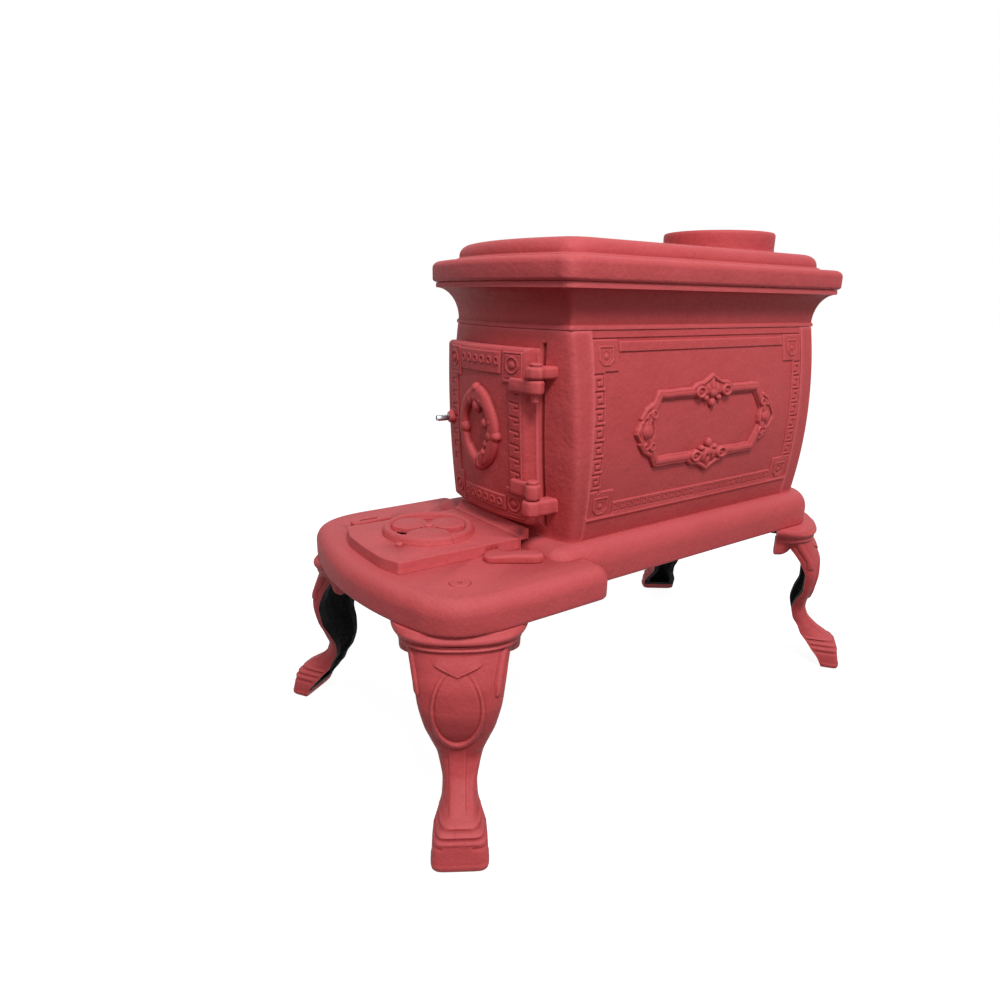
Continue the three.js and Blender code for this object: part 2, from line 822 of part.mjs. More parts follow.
// The grate lies on the rebate of the base.
function makeGrate() {
  const halfX = grateHole.halfWidth + grateHole.rebate - swingGap;
  const y0 = grateHole.y0 - grateHole.rebate + swingGap;
  const y1 = grateHole.y1 + grateHole.rebate - swingGap;
  const z0 = grateLedgeZ + castGap;
  const z1 = z0 + grateBar.height;
  const frame = box(-halfX, halfX, y0, y1, z0, z1);
  const innerX = halfX - grateBar.frame;
  const pitch = (2 * innerX - grateBar.thickness * grateBar.count) / (grateBar.count + 1);
  const slots = Array.from({ length: grateBar.count + 1 }, (_, i) => {
    const x = -innerX + i * (pitch + grateBar.thickness);
    return box(x, x + pitch, y0 + grateBar.frame, y1 - grateBar.frame, z0 - overrun, z1 + overrun);
  });
  return cutAway(frame, slots);
}

// Plan section of a leg: rounded in front and open behind, outwards along X.
function legSection(ridge, open, half, steps) {
  return Array.from({ length: steps + 1 }, (_, i) => {
    const angle = -Math.PI / 2 + (Math.PI * i) / steps;
    const across = Math.sign(Math.sin(angle)) * Math.abs(Math.sin(angle)) ** (2 / legSquareness);
    const out = Math.abs(Math.cos(angle)) ** (2 / legSquareness);
    return point(open + (ridge - open) * out, half * across);
  });
}

function legRings(drawnIn, back) {
  const rings = legStationShares.map(([high, ridge, open, half]) => ({
    points: legSection(
      ridge * legReach - drawnIn,
      open * legReach - back,
      half * legHalfWidth - drawnIn,
      legArcSteps,
    ),
    z: THREE.MathUtils.lerp(soleZ, legShoulder.bottomZ, high),
  }));
  const { points } = rings[rings.length - 1];
  return [...rings, { points, z: legShoulder.bottomZ + drawnIn + castGap }];
}

function legShoulderSection(taken, drawnIn, back) {
  const { ridge, open, half } = legShoulder;
  return legSection(ridge - taken.ridge - drawnIn, open - back, half - taken.half - drawnIn, legArcSteps);
}

function legShoulderRings(drawnIn, back) {
  const s = legShoulder;
  return [
    { points: legShoulderSection(s.footIn, drawnIn, back), z: s.bottomZ + drawnIn },
    { points: legShoulderSection({ ridge: 0, half: 0 }, drawnIn, back), z: s.mouldZ },
    { points: legShoulderSection(s.topIn, drawnIn, back), z: legTopZ },
  ];
}

// The ears that run down both open edges of a leg below its shoulder.
function legEars() {
  const points = legShoulderSection(legShoulder.earIn, 0, 0);
  return loft([
    { points, z: legShoulder.earZ },
    { points, z: legShoulder.bottomZ + castGap },
  ]);
}

// One leg drawn with its bolt at the origin and its foot towards +X.
function legShape() {
  const plateLowZ = legTopZ - legPlateThickness;
  const skin = (drawnIn, back) => joined([
    loft(legRings(drawnIn, back)),
    loft(legShoulderRings(drawnIn, back)),
  ]);
  const sole = box(0, legReach, -legHalfWidth, legHalfWidth, soleZ - overrun, soleTopZ);
  const { half } = legShoulder;
  const plateSpace = box(-legReach, legReach, -half, half, plateLowZ, legTopZ + overrun);
  const pad = post(0, 0, plateLowZ, legTopZ, legBossRadius, turnSteps).add(
    box(0, legShoulder.ridge / 2, -legBossRadius, legBossRadius, plateLowZ, legTopZ),
  );
  const outside = skin(0, 0).add(legEars());
  const walls = outside.subtract(skin(legWall, overrun).subtract(sole).subtract(plateSpace));
  const hole = post(0, 0, plateLowZ - overrun, legTopZ + overrun, legBoltSize.radius + slipGap);
  return walls.add(pad).subtract(hole);
}

function makeLeg(bolt, turn) {
  return legShape().rotate([0, 0, turn]).translate([bolt.x, bolt.y, 0]);
}

// Round-headed bolt through the hearth and the leg plate.
function makeLegBolt() {
  const headTop = hearthTopZ + legBoltSize.proud;
  const tail = legTopZ - legPlateThickness - castGap - legNut.height - legNut.tail;
  const { x, y } = legBolt;
  const dimple = post(x, y, headTop - legBoltSize.dimpleDepth, headTop + overrun, legBoltSize.dimpleRadius);
  return joined([
    post(x, y, headTop - legBoltSize.headHeight, headTop, legBoltSize.headRadius, turnSteps),
    post(x, y, tail, headTop - castGap, legBoltSize.radius),
  ]).subtract(dimple);
}

function makeLegNut() {
  const top = legTopZ - legPlateThickness - castGap;
  return hexPost(legBolt.x, legBolt.y, top - legNut.height, top, legNut.across).subtract(
    post(legBolt.x, legBolt.y, top - overrun, top + overrun, legBoltSize.radius + castGap),
  );
}

// Screw driven up into the blind boss over a rear leg.
function makeRearScrew() {
  const seat = legTopZ - legPlateThickness - castGap;
  return joined([
    hexPost(rearBolt.x, rearBolt.y, seat - rearScrew.headHeight, seat, rearScrew.across),
    post(rearBolt.x, rearBolt.y, seat - castGap, rimBottomZ + rearScrew.grip, legBoltSize.radius),
  ]);
}

// Lug of the hinge on the front frame.
function bodyLug(low, top) {
  const knuckle = post(hinge.x, hinge.y, low, top, hinge.knuckle, turnSteps);
  const arm = box(bodyArm.inX, bodyArm.outX, hinge.y, bodyArm.backY, low, top);
  return knuckle.add(arm);
}

// The stretch of the stove that one wall plate takes.
function wallKeep(y0, y1) {
  return box(-wallSpan, wallSpan, y0, y1, wallLowZ - overrun, wallHighZ + overrun);
}

function makeFrontFrame() {
  const keep = wallKeep(hearthFrontY, frontSeamY - castGap);
  const wall = wallShell().intersect(keep).subtract(
    box(opening.x0, opening.x1, hearthFrontY, frontSeamY, opening.z0, opening.z1),
  );
  const lugs = [
    bodyLug(upperHinge.bodyLow, upperHinge.bodyTop),
    bodyLug(lowerHinge.bodyLow, lowerHinge.bodyTop),
  ];
  const inside = wallBody(wallThickness - castGap, wallLowZ - overrun, wallHighZ + overrun);
  const pinHole = post(hinge.x, hinge.y, wallLowZ, wallHighZ, hinge.pinRadius + slipGap, turnSteps)
    .intersect(box(hinge.x - hinge.knuckle, hinge.x + hinge.knuckle, hinge.y - hinge.knuckle,
      hinge.y + hinge.knuckle, wallLowZ, wallHighZ));
  return wall.add(joined(lugs).subtract(inside)).subtract(pinHole);
}

function makeRearPanel() {
  return wallShell().intersect(wallKeep(rearSeamY + castGap, baseRearY));
}

// Outline pieces of the raised ornament on the right side panel, drawn in Y and Z.
function sideOrnament() {
  const s = sideLayout;
  const half = s.square / 2;
  const squares = [-1, 1].flatMap((side) => {
    const y = s.midY + side * s.squareY;
    return [
      rectangle(y - half, y + half, s.topZ - s.squareHigh / 2, s.topZ + s.squareHigh / 2),
      rectangle(y - half, y + half, s.lowZ - s.squareHigh / 2, s.lowZ + s.squareHigh / 2),
    ];
  });
  const columns = [-1, 1].map((side) => {
    const outer = s.midY + side * (s.squareY + half);
    const inner = outer - side * s.columnWidth;
    return rectangle(Math.min(outer, inner), Math.max(outer, inner), s.lowZ, s.topZ);
  });
  const bands = [
    rectangle(s.midY - s.squareY, s.midY + s.squareY, s.bandTopLowZ, s.bandTopZ),
    rectangle(s.midY - s.squareY, s.midY + s.squareY, plinthTopZ, s.bandLowTopZ),
  ];
  return [...squares, ...columns, ...bands];
}

// The long octagon moulding of the side panel, outer line or inner line.
function octagon(grow) {
  const c = sideCartouche;
  const tall = c.halfHeight + grow;
  const bend = Math.atan2(c.halfHeight, c.cut);
  const flat = c.halfLength - c.cut + grow * Math.tan(bend / 2);
  const long = c.halfLength + grow / Math.sin(bend);
  const { midY } = sideLayout;
  return toPoints([[midY - flat, c.z - tall], [midY + flat, c.z - tall], [midY + long, c.z],
    [midY + flat, c.z + tall], [midY - flat, c.z + tall], [midY - long, c.z]]);
}

function makeSidePanel() {
  const field = wallKeep(frontSeamY + castGap, rearSeamY - castGap).intersect(
    box(0, wallSpan, frontSeamY, rearSeamY, wallLowZ - overrun, wallHighZ + overrun),
  );
  const hollow = wallBody(wallThickness, wallLowZ - overrun, wallHighZ + overrun);
  const raised = (outlines, relief) => joined(outlines.map((outline) => sideSlab(outline, 0, wallSpan)))
    .intersect(sideBody(relief - panelRecess));
  const moulding = sideSlab(octagon(sideCartouche.moulding / 2), 0, wallSpan).subtract(
    sideSlab(octagon(-sideCartouche.moulding / 2), -overrun, wallSpan + overrun),
  ).intersect(sideBody(sideCartouche.relief - panelRecess));
  const c = sideCartouche;
  const { midY } = sideLayout;
  const bosses = [-1, 1].map((side) => (
    ellipse(midY + side * c.halfLength, c.z, cartoucheBoss.halfWide, cartoucheBoss.halfHigh)
  ));
  const crests = [-1, 1].map((side) => (
    ellipse(midY, c.z + side * c.halfHeight, cartoucheCrest.halfWide, cartoucheCrest.halfHigh)
  ));
  const plinth = sideBody(0).intersect(box(0, wallSpan, frontSeamY, rearSeamY, wallLowZ, plinthTopZ));
  const panel = joined([
    sideBody(-panelRecess),
    raised(sideOrnament(), sideLayout.relief),
    moulding,
    raised(bosses, cartoucheBoss.relief),
    raised(crests, cartoucheCrest.relief),
    plinth,
  ]);
  return panel.intersect(field).subtract(hollow);
}

// The cornice ring: a small lip at the neck, a hollow cove that reaches out and a low fascia.
function makeCornice() {
  const z0 = coveZ;
  const z1 = flangeZ - castGap;
  const curveZ = z0 + coveLipHeight + coveThroat;
  const curveHigh = z1 - fasciaHeight - curveZ;
  const outlineAt = (reach, z) => ({ points: bowedOutline(neckHalfWidth + reach, -reach, rearY + reach), z });
  const rings = [outlineAt(coveLipReach, z0), outlineAt(coveLipReach, z0 + coveLipHeight)];
  for (let i = 0; i <= 2 * roundSteps; i += 1) {
    const angle = (Math.PI / 2) * (i / (2 * roundSteps));
    const reach = (fasciaReach + coveThroat) * (1 - Math.cos(angle)) - coveThroat;
    rings.push(outlineAt(reach, curveZ + curveHigh * Math.sin(angle)));
  }
  rings.push(outlineAt(fasciaReach, z1));
  const inner = loft([z0 - overrun, z1 + overrun].map((z) => ({
    points: bowedOutline(neckHalfWidth - wallThickness, wallThickness, rearY - wallThickness),
    z,
  })));
  return loft(rings).subtract(inner);
}

function lidOutline(drawnIn, corner) {
  const reach = coveOverhang - drawnIn;
  return bowedOutline(neckHalfWidth + reach, -reach, rearY + reach, corner);
}

function roundedLid(drawnIn, z0, z1, round, corner) {
  const rings = [{ points: lidOutline(drawnIn, corner), z: z0 }];
  for (let i = 0; i <= roundSteps; i += 1) {
    const angle = (Math.PI / 2) * (i / roundSteps);
    rings.push({
      points: lidOutline(drawnIn + round * (1 - Math.cos(angle)), corner),
      z: z1 - round * (1 - Math.sin(angle)),
    });
  }
  return loft(rings);
}

function makeTopPlate() {
  const flange = roundedLid(0, flangeZ, flangeTopZ, flangeRound, flangeCorner);
  const foot = loft([flangeTopZ - castGap, flangeTopZ + panelFootHeight].map((z) => ({
    points: lidOutline(panelInset - panelFootStep, panelCorner + panelFootStep),
    z,
  })));
  const panel = roundedLid(panelInset, flangeTopZ - castGap, panelTopZ, panelRound, panelCorner);
  const roofZ = panelTopZ - plateThickness;
  const hollow = loft([flangeZ - overrun, roofZ].map((z) => ({
    points: lidOutline(coveOverhang + wallThickness),
    z,
  })));
  const bossLowZ = roofZ - tie.bossDrop;
  const bosses = tiePlaces().map(([x, y]) => post(x, y, bossLowZ, roofZ + castGap, tie.bossRadius));
  const body = joined([flange, foot, panel]).subtract(hollow);
  return cutAway(joined([body, ...bosses]), topPlateCuts());
}

function topPlateCuts() {
  const high = panelTopZ + overrun;
  const low = panelTopZ - plateThickness - overrun;
  const cookSeatZ = panelTopZ - cookLidThickness / 2 - castGap;
  const cuts = [
    post(0, cookHoleY, low, high, cookHoleRadius - cookRebate, 2 * turnSteps),
    post(0, cookHoleY, cookSeatZ, high, cookHoleRadius + slipGap, 2 * turnSteps),
    post(0, collarY, low, high, flueHoleRadius, 2 * turnSteps),
  ];
  tiePlaces().forEach(([x, y]) => cuts.push(post(x, y, flangeZ, tieTopZ() + slipGap, tie.radius + slipGap)));
  const screwHole = plateScrew.radius + castGap;
  [-1, 1].forEach((side) => {
    cuts.push(post(side * collarScrewX, collarY, panelTopZ - collarScrewReach, high, screwHole));
  });
  return cuts;
}

const collarScrewX = collarRadius - collarWall - collarEar.screwIn;
const tieTopZ = () => panelTopZ - plateThickness - tie.cover;

// The lift-off cook lid with a notch for the lifter.
function makeCookLid() {
  const z0 = panelTopZ - cookLidThickness / 2;
  const rim = post(0, cookHoleY, z0, panelTopZ, cookHoleRadius, 2 * turnSteps);
  const plugRadius = cookHoleRadius - cookRebate - swingGap;
  const plugLowZ = panelTopZ - cookLidThickness;
  const plug = post(0, cookHoleY, plugLowZ, panelTopZ - castGap, plugRadius, 2 * turnSteps);
  const l = cookLift;
  const notchY = cookHoleY - cookHoleRadius / 2;
  const notch = box(-l.notchWidth / 2, l.notchWidth / 2, notchY - l.notchLength, notchY,
    panelTopZ - l.depth, panelTopZ + overrun);
  return rim.add(plug).subtract(notch);
}

function makeFlueCollar() {
  const z0 = panelTopZ + castGap;
  const outer = [point(0, z0), point(collarRadius, z0), point(collarRadius, collarTopZ - collarRound),
    point(collarRadius - collarRound, collarTopZ), point(0, collarTopZ)];
  const shell = new THREE.LatheGeometry(outer, 2 * turnSteps);
  shell.rotateX(Math.PI / 2);
  shell.translate(0, collarY, 0);
  const bore = post(0, collarY, z0 - overrun, collarTopZ + overrun, collarRadius - collarWall, 2 * turnSteps);
  const tipX = collarRadius - collarWall - collarEar.reach;
  const half = collarEar.width / 2;
  const hole = post(collarScrewX, collarY, z0 - overrun, z0 + overrun, plateScrew.radius + castGap);
  const rootX = collarRadius - collarWall / 2;
  const ear = box(tipX, rootX, collarY - half, collarY + half, z0, z0 + collarEar.height).subtract(hole);
  return joined([toSolid(shell).subtract(bore), ear, ear.mirror([1, 0, 0])]);
}

function makeCollarScrew() {
  const seat = panelTopZ + castGap + collarEar.height + castGap;
  return joined([
    post(collarScrewX, collarY, seat, seat + plateScrew.headHeight, plateScrew.headRadius),
    post(collarScrewX, collarY, panelTopZ - collarScrewReach + castGap, seat + castGap, plateScrew.radius),
  ]);
}

function makeTieRod(x, y) {
  return post(x, y, seatRoofZ - castGap - tie.nutHeight - tie.tail, tieTopZ(), tie.radius);
}

function makeTieNut(x, y) {
  const top = seatRoofZ - castGap;
  return hexPost(x, y, top - tie.nutHeight, top, tie.headAcross).subtract(
    post(x, y, top - overrun, top + overrun, tie.radius + castGap),
  );
}

// Plan ring of a plate bent along the front face between two stand-off distances.
function bentRing(x0, x1, near, far, z) {
  const outer = [];
  const inner = [];
  for (let i = 0; i <= bowSteps; i += 1) {
    const x = THREE.MathUtils.lerp(x0, x1, i / bowSteps);
    outer.push(point(x, frontFaceY(x, z) - far));
    inner.push(point(x1 + x0 - x, frontFaceY(x1 + x0 - x, z) - near));
  }
  return { points: [...outer, ...inner], z };
}

function bentPlate(x0, x1, z0, z1, near, far) {
  const rings = [];
  for (let i = 0; i <= barrelSteps; i += 1) {
    rings.push(bentRing(x0, x1, near, far, THREE.MathUtils.lerp(z0, z1, i / barrelSteps)));
  }
  return loft(rings);
}

// A shallow relief on the door from an outline drawn in X and Z.
function doorRelief(outline, relief) {
  const far = door.proud + relief;
  const skin = bentPlate(door.x0, door.x1 - door.bevel, door.z0, door.z1, door.proud - door.skin / 2, far);
  return skin.intersect(frontSlab(outline, hearthFrontY, 0));
}

function doorBody() {
  const rings = [];
  for (let i = 0; i <= barrelSteps; i += 1) {
    const z = THREE.MathUtils.lerp(door.z0, door.z1, i / barrelSteps);
    const ring = bentRing(door.x0 + door.leftBevel, door.x1 - door.bevel, door.backGap, door.proud, z);
    const count = bowSteps + 1;
    const front = ring.points.slice(0, count);
    const back = ring.points.slice(count);
    const right = [point(door.x1, frontFaceY(door.x1, z) - door.proud + door.bevelDrop),
      point(door.x1, frontFaceY(door.x1, z) - door.backGap)];
    const left = [point(door.x0, frontFaceY(door.x0, z) - door.backGap),
      point(door.x0, frontFaceY(door.x0, z) - door.proud + door.leftBevel)];
    rings.push({ points: [...front, ...right, ...back, ...left], z });
  }
  return loft(rings);
}

function doorPocket() {
  return bentPlate(door.x0 + door.rim, door.x1 - door.rim, door.z0 + door.rim, door.z1 - door.rim,
    -overrun, door.proud - door.skin);
}

function doorFrameReliefs() {
  const b = doorBand;
  const shapes = [-1, 1].flatMap((side) => {
    const from = (near, far) => [Math.min(side * near, side * far), Math.max(side * near, side * far)];
    const [s0, s1] = from(b.squareIn, b.squareOut);
    const [c0, c1] = from(b.columnIn, b.columnOut);
    return [
      rectangle(s0, s1, b.topLowZ, b.topZ),
      rectangle(s0, s1, b.lowZ, b.lowTopZ + b.columnOut - b.columnIn),
      rectangle(c0, c1, b.lowZ, b.topZ),
    ];
  });
  shapes.push(rectangle(-b.squareIn, b.squareIn, b.topLowZ, b.topZ));
  shapes.push(rectangle(-b.squareIn, b.squareIn, b.lowZ, b.lowTopZ));
  return shapes.map((outline) => doorRelief(outline, b.relief));
}

function doorWreath() {
  const w = wreath;
  const half = w.tube / 2;
  const ring = doorRelief(ellipse(0, w.z, w.halfWidth + half, w.halfHeight + half), w.relief).subtract(
    frontSlab(ellipse(0, w.z, w.halfWidth - half, w.halfHeight - half), hearthFrontY - overrun,
      frontFaceY(0, w.z) - door.proud),
  );
  const beads = [[-w.halfWidth, 0], [w.halfWidth, 0], [0, w.halfHeight], [0, -w.halfHeight]].map(([x, z]) =>
    doorRelief(ellipse(x, w.z + z, w.bead, w.bead), w.beadRelief));
  return [ring, ...beads];
}

// Lug of the hinge on the door.
function doorLug(low, top) {
  const knuckle = post(hinge.x, hinge.y, low, top, hinge.knuckle, turnSteps);
  const tipY = frontFaceY(doorArm.inX, (low + top) / 2) - door.proud;
  const arm = slab(toPoints([[doorArm.inX, tipY - doorArm.proud], [hinge.x, hinge.y - hinge.knuckle],
    [hinge.x, hinge.y + hinge.knuckle], [doorArm.inX, tipY + doorArm.sunk]]), low, top);
  return knuckle.add(arm);
}

function makeDoor() {
  const face = frontFaceY(latch.x, latch.z) - door.proud;
  const bossFrontY = face - latch.bossLength;
  const { bossTip, bossRadius } = latch;
  const boss = taper(latch.x, latch.z, bossFrontY, face + door.skin, bossTip, bossRadius, turnSteps);
  const screwBosses = linerScrew.zs.map((z) => bar(0, z, frontFaceY(0, z) - door.proud + door.skin / 2,
    frontFaceY(0, z) - liner.far - leanGap, linerScrew.bossRadius));
  const lugs = [
    doorLug(upperHinge.doorLow, upperHinge.doorTop),
    doorLug(lowerHinge.doorLow, lowerHinge.doorTop),
  ];
  const shell = doorBody().subtract(doorPocket());
  const body = joined([shell, ...doorFrameReliefs(), ...doorWreath(), boss, ...screwBosses, ...lugs]);
  return cutAway(body, doorCuts());
}

function doorCuts() {
  const clear = hinge.knuckle + swingGap;
  const extra = castGap + slipGap;
  const space = (low, top) => post(hinge.x, hinge.y, low - extra, top + extra, clear, turnSteps);
  const cuts = [
    post(hinge.x, hinge.y, door.z0 - overrun, door.z1 + overrun, hinge.pinRadius + slipGap, turnSteps),
    space(upperHinge.bodyLow, upperHinge.bodyTop + hinge.headHeight),
    space(lowerHinge.pinLow, lowerHinge.bodyTop - castGap),
    bar(latch.x, latch.z, hearthFrontY, overrun, latch.shank + slipGap),
  ];
  linerScrew.zs.forEach((z) => {
    const seat = frontFaceY(0, z) - liner.far;
    cuts.push(bar(0, z, seat - linerScrew.depth, seat + overrun, linerScrew.radius + castGap));
  });
  return cuts;
}

function makeDoorLiner() {
  const plate = bentPlate(liner.x0, liner.x1, liner.z0, liner.z1, liner.near, liner.far);
  const hole = linerScrew.radius + castGap;
  return cutAway(plate, linerScrew.zs.map((z) => bar(0, z, hearthFrontY, overrun, hole)));
}

function makeLinerScrew(z) {
  const face = frontFaceY(0, z) - liner.near + leanGap;
  const tip = frontFaceY(0, z) - liner.far - linerScrew.depth + castGap;
  return joined([
    bar(0, z, face, face + linerScrew.headHeight, linerScrew.headRadius),
    bar(0, z, tip, face + leanGap, linerScrew.radius),
  ]);
}

// The latch spindle with its plain end in front and a reduced tail for the cam.
function makeLatchSpindle() {
  const shoulder = cam.y0 - castGap;
  return joined([
    taper(latch.x, latch.z, latch.frontY, latch.frontY + latch.noseLength, latch.noseRadius, latch.shank),
    bar(latch.x, latch.z, latch.frontY + latch.noseLength, shoulder, latch.shank),
    bar(latch.x, latch.z, shoulder - castGap, latch.tailY, latch.tailRadius),
  ]);
}

function makeLatchCam() {
  const hub = bar(latch.x, latch.z, cam.y0, cam.y1, cam.hubRadius);
  const half = cam.width / 2;
  const arm = box(latch.x - half, latch.x + half, cam.y0, cam.y1, latch.z - cam.reach, latch.z);
  const hole = bar(latch.x, latch.z, cam.y0 - overrun, cam.y1 + overrun, latch.tailRadius + castGap);
  return hub.add(arm).subtract(hole);
}

function makeLatchNut() {
  const y0 = cam.y1 + castGap;
  return hexBar(latch.x, latch.z, y0, y0 + latchNut.height, latchNut.across).subtract(
    bar(latch.x, latch.z, y0 - overrun, y0 + overrun, latch.tailRadius + castGap),
  );
}

function makeHingePin(seat, low) {
  return joined([
    post(hinge.x, hinge.y, low, seat + castGap + hinge.headHeight / 2, hinge.pinRadius, turnSteps),
    post(hinge.x, hinge.y, seat + castGap, seat + castGap + hinge.headHeight, hinge.headRadius, turnSteps),
  ]);
}

const coverLowZ = hearthTopZ + castGap;
const coverTopZ = coverLowZ + cover.thickness;

// The loose hearth cover: plate, handle, sill against the body and a seat for the draft disc.
function makeHearthCover() {
  const plate = slab(placedShares(cover, coverCornerShares), coverLowZ, coverTopZ);
  const grip = placedShares(handle, handleCornerShares);
  const tongue = slab(grip, coverLowZ, coverTopZ - handle.round).add(
    loft([
      { points: grip, z: coverTopZ - handle.round - castGap },
      { points: inset(grip, handle.round), z: coverTopZ },
    ]),
  );
  const sillProfile = toPoints([
    [cover.y1, coverLowZ],
    [cover.backY, coverLowZ],
    [cover.backY, cover.sillTopZ],
    [cover.sillY, cover.sillTopZ],
    [cover.y1, coverTopZ],
  ]);
  const sill = sideSlab(sillProfile, cover.sillLeft, cover.sillRight).subtract(
    loft([coverLowZ - overrun, cover.sillTopZ + overrun].map((z) => ({
      points: bowedOutline(footHalfWidth, leanAt(seatZ) - cover.bodyGap, frontSeamY),
      z,
    }))),
  );
  const nub = post(stopNub.x, stopNub.y, coverTopZ - castGap, coverTopZ + stopNub.height, stopNub.radius);
  const body = joined([plate, tongue, sill, nub]).subtract(baseFrontKeepOut());
  const rivetHole = post(disc.x, disc.y, coverLowZ - overrun, coverTopZ + overrun, rivet.radius + slipGap);
  return cutAway(body, [...draftHoles(), rivetHole]);
}

// Room for the rounded front of the body seat behind the cover.
function baseFrontKeepOut() {
  return box(
    -baseHalfWidth,
    baseHalfWidth,
    baseFrontY - castGap,
    hearthStepY,
    coverLowZ - overrun,
    seatZ + castGap,
  );
}

function sector(cx, cy, inner, outer, middle, halfAngle) {
  const near = [];
  const far = [];
  for (let i = 0; i <= roundSteps; i += 1) {
    const angle = radians(middle + halfAngle * ((2 * i) / roundSteps - 1));
    far.push(point(cx + outer * Math.cos(angle), cy + outer * Math.sin(angle)));
    near.unshift(point(cx + inner * Math.cos(angle), cy + inner * Math.sin(angle)));
  }
  return [...far, ...near];
}

function turnsOf(start) {
  const step = THREE.MathUtils.radToDeg(2 * Math.PI) / disc.bladeCount;
  return Array.from({ length: disc.bladeCount }, (_, i) => start + step * i);
}

function draftHoles() {
  return turnsOf(disc.bladeStart + draftHole.turn).map((angle) => slab(
    sector(disc.x, disc.y, draftHole.inner, draftHole.outer, angle, draftHole.halfAngle),
    coverLowZ - overrun,
    coverTopZ + overrun,
  ));
}

const discLowZ = coverTopZ + castGap;

function makeDraftDisc() {
  const ringProfile = [[disc.inner, 0], [disc.outer, 0], [disc.outer, disc.ringHeight - collarRound],
    [disc.outer - collarRound, disc.ringHeight], [disc.inner + collarRound, disc.ringHeight],
    [disc.inner, disc.ringHeight - collarRound], [disc.inner, 0]].map(([r, z]) => point(r, discLowZ + z));
  const ring = new THREE.LatheGeometry(ringProfile, 2 * turnSteps);
  ring.rotateX(Math.PI / 2);
  ring.translate(disc.x, disc.y, 0);
  const hub = post(disc.x, disc.y, discLowZ, discLowZ + disc.bladeHeight, disc.hub, turnSteps);
  const blades = turnsOf(disc.bladeStart).map((angle) => slab(
    sector(disc.x, disc.y, disc.hub / 2, disc.inner + collarRound, angle, disc.bladeHalfAngle),
    discLowZ,
    discLowZ + disc.bladeHeight,
  ));
  const middle = (disc.outer + disc.tabReach) / 2;
  const length = disc.tabReach - disc.outer + collarRound;
  const tabShape = new THREE.BoxGeometry(length, disc.tabWidth, disc.tabHeight);
  tabShape.translate(middle - collarRound / 2, 0, discLowZ + disc.tabHeight / 2);
  tabShape.rotateZ(radians(disc.tabAngle));
  tabShape.translate(disc.x, disc.y, 0);
  const body = joined([toSolid(ring), hub, ...blades, toSolid(tabShape)]);
  return body.subtract(post(disc.x, disc.y, discLowZ - overrun, discLowZ + overrun, rivet.radius + slipGap));
}

function makeDraftRivet() {
  const top = discLowZ + disc.bladeHeight + castGap;
  const under = coverLowZ;
  return joined([
    post(disc.x, disc.y, top, top + rivet.headHeight, rivet.headRadius),
    post(disc.x, disc.y, under - castGap - rivet.tailHeight, top + castGap, rivet.radius),
    post(disc.x, disc.y, under - castGap - rivet.tailHeight, under - castGap, rivet.tailRadius),
  ]);
}

// Named parts with their colour, roughness and metalness.
const group = new THREE.Group();
group.name = 'cast_iron_stove';

const finishes = {
  primer: { color: primerRed, roughness: 0.82, metalness: 0 },
  bolt: { color: boltRed, roughness: 0.8, metalness: 0 },
  steel: { color: bareSteel, roughness: 0.35, metalness: 1 },
  iron: { color: darkIron, roughness: 0.7, metalness: 0.6 },
};

function place(name, geometry, finish) {
  const shown = geometry.index ? geometry.toNonIndexed() : geometry;
  shown.computeVertexNormals();
  const mesh = new THREE.Mesh(shown, new THREE.MeshStandardMaterial(finishes[finish]));
  mesh.name = name;
  group.add(mesh);
}

function placePair(name, solid, finish) {
  const right = toGeometry(solid);
  place(`${name}_right`, right, finish);
  place(`${name}_left`, mirrorGeometry(right), finish);
}

place('base', toGeometry(makeBase()), 'primer');
place('bottom_plate', toGeometry(makeBottomPlate()), 'iron');
pitCorners().forEach(([x, y], i) => place(`plate_screw_${i + 1}`, toGeometry(makePlateScrew(x, y)), 'iron'));
place('grate', toGeometry(makeGrate()), 'iron');
placePair('leg_front', makeLeg(legBolt, frontLegTurn), 'primer');
placePair('leg_rear', makeLeg(rearBolt, rearLegTurn), 'primer');
placePair('leg_bolt', makeLegBolt(), 'bolt');
placePair('leg_nut', makeLegNut(), 'iron');
placePair('leg_screw', makeRearScrew(), 'iron');
place('front_frame', toGeometry(makeFrontFrame()), 'primer');
place('rear_panel', toGeometry(makeRearPanel()), 'primer');
placePair('side_panel', makeSidePanel(), 'primer');
place('cornice', toGeometry(makeCornice()), 'primer');
place('top_plate', toGeometry(makeTopPlate()), 'primer');
place('cook_lid', toGeometry(makeCookLid()), 'primer');
place('flue_collar', toGeometry(makeFlueCollar()), 'primer');
placePair('collar_screw', makeCollarScrew(), 'iron');
tiePlaces().forEach(([x, y], i) => place(`tie_rod_${i + 1}`, toGeometry(makeTieRod(x, y)), 'iron'));
tiePlaces().forEach(([x, y], i) => place(`tie_nut_${i + 1}`, toGeometry(makeTieNut(x, y)), 'iron'));
place('door', toGeometry(makeDoor()), 'primer');
place('door_liner', toGeometry(makeDoorLiner()), 'iron');
linerScrew.zs.forEach((z, i) => place(`liner_screw_${i + 1}`, toGeometry(makeLinerScrew(z)), 'iron'));
place('latch_spindle', toGeometry(makeLatchSpindle()), 'steel');
place('latch_cam', toGeometry(makeLatchCam()), 'iron');
place('latch_nut', toGeometry(makeLatchNut()), 'iron');
place('hinge_pin_upper', toGeometry(makeHingePin(upperHinge.bodyTop, upperHinge.pinLow)), 'bolt');
place('hinge_pin_lower', toGeometry(makeHingePin(lowerHinge.doorTop, lowerHinge.pinLow)), 'bolt');
place('hearth_cover', toGeometry(makeHearthCover()), 'primer');
place('draft_disc', toGeometry(makeDraftDisc()), 'primer');
place('draft_rivet', toGeometry(makeDraftRivet()), 'iron');

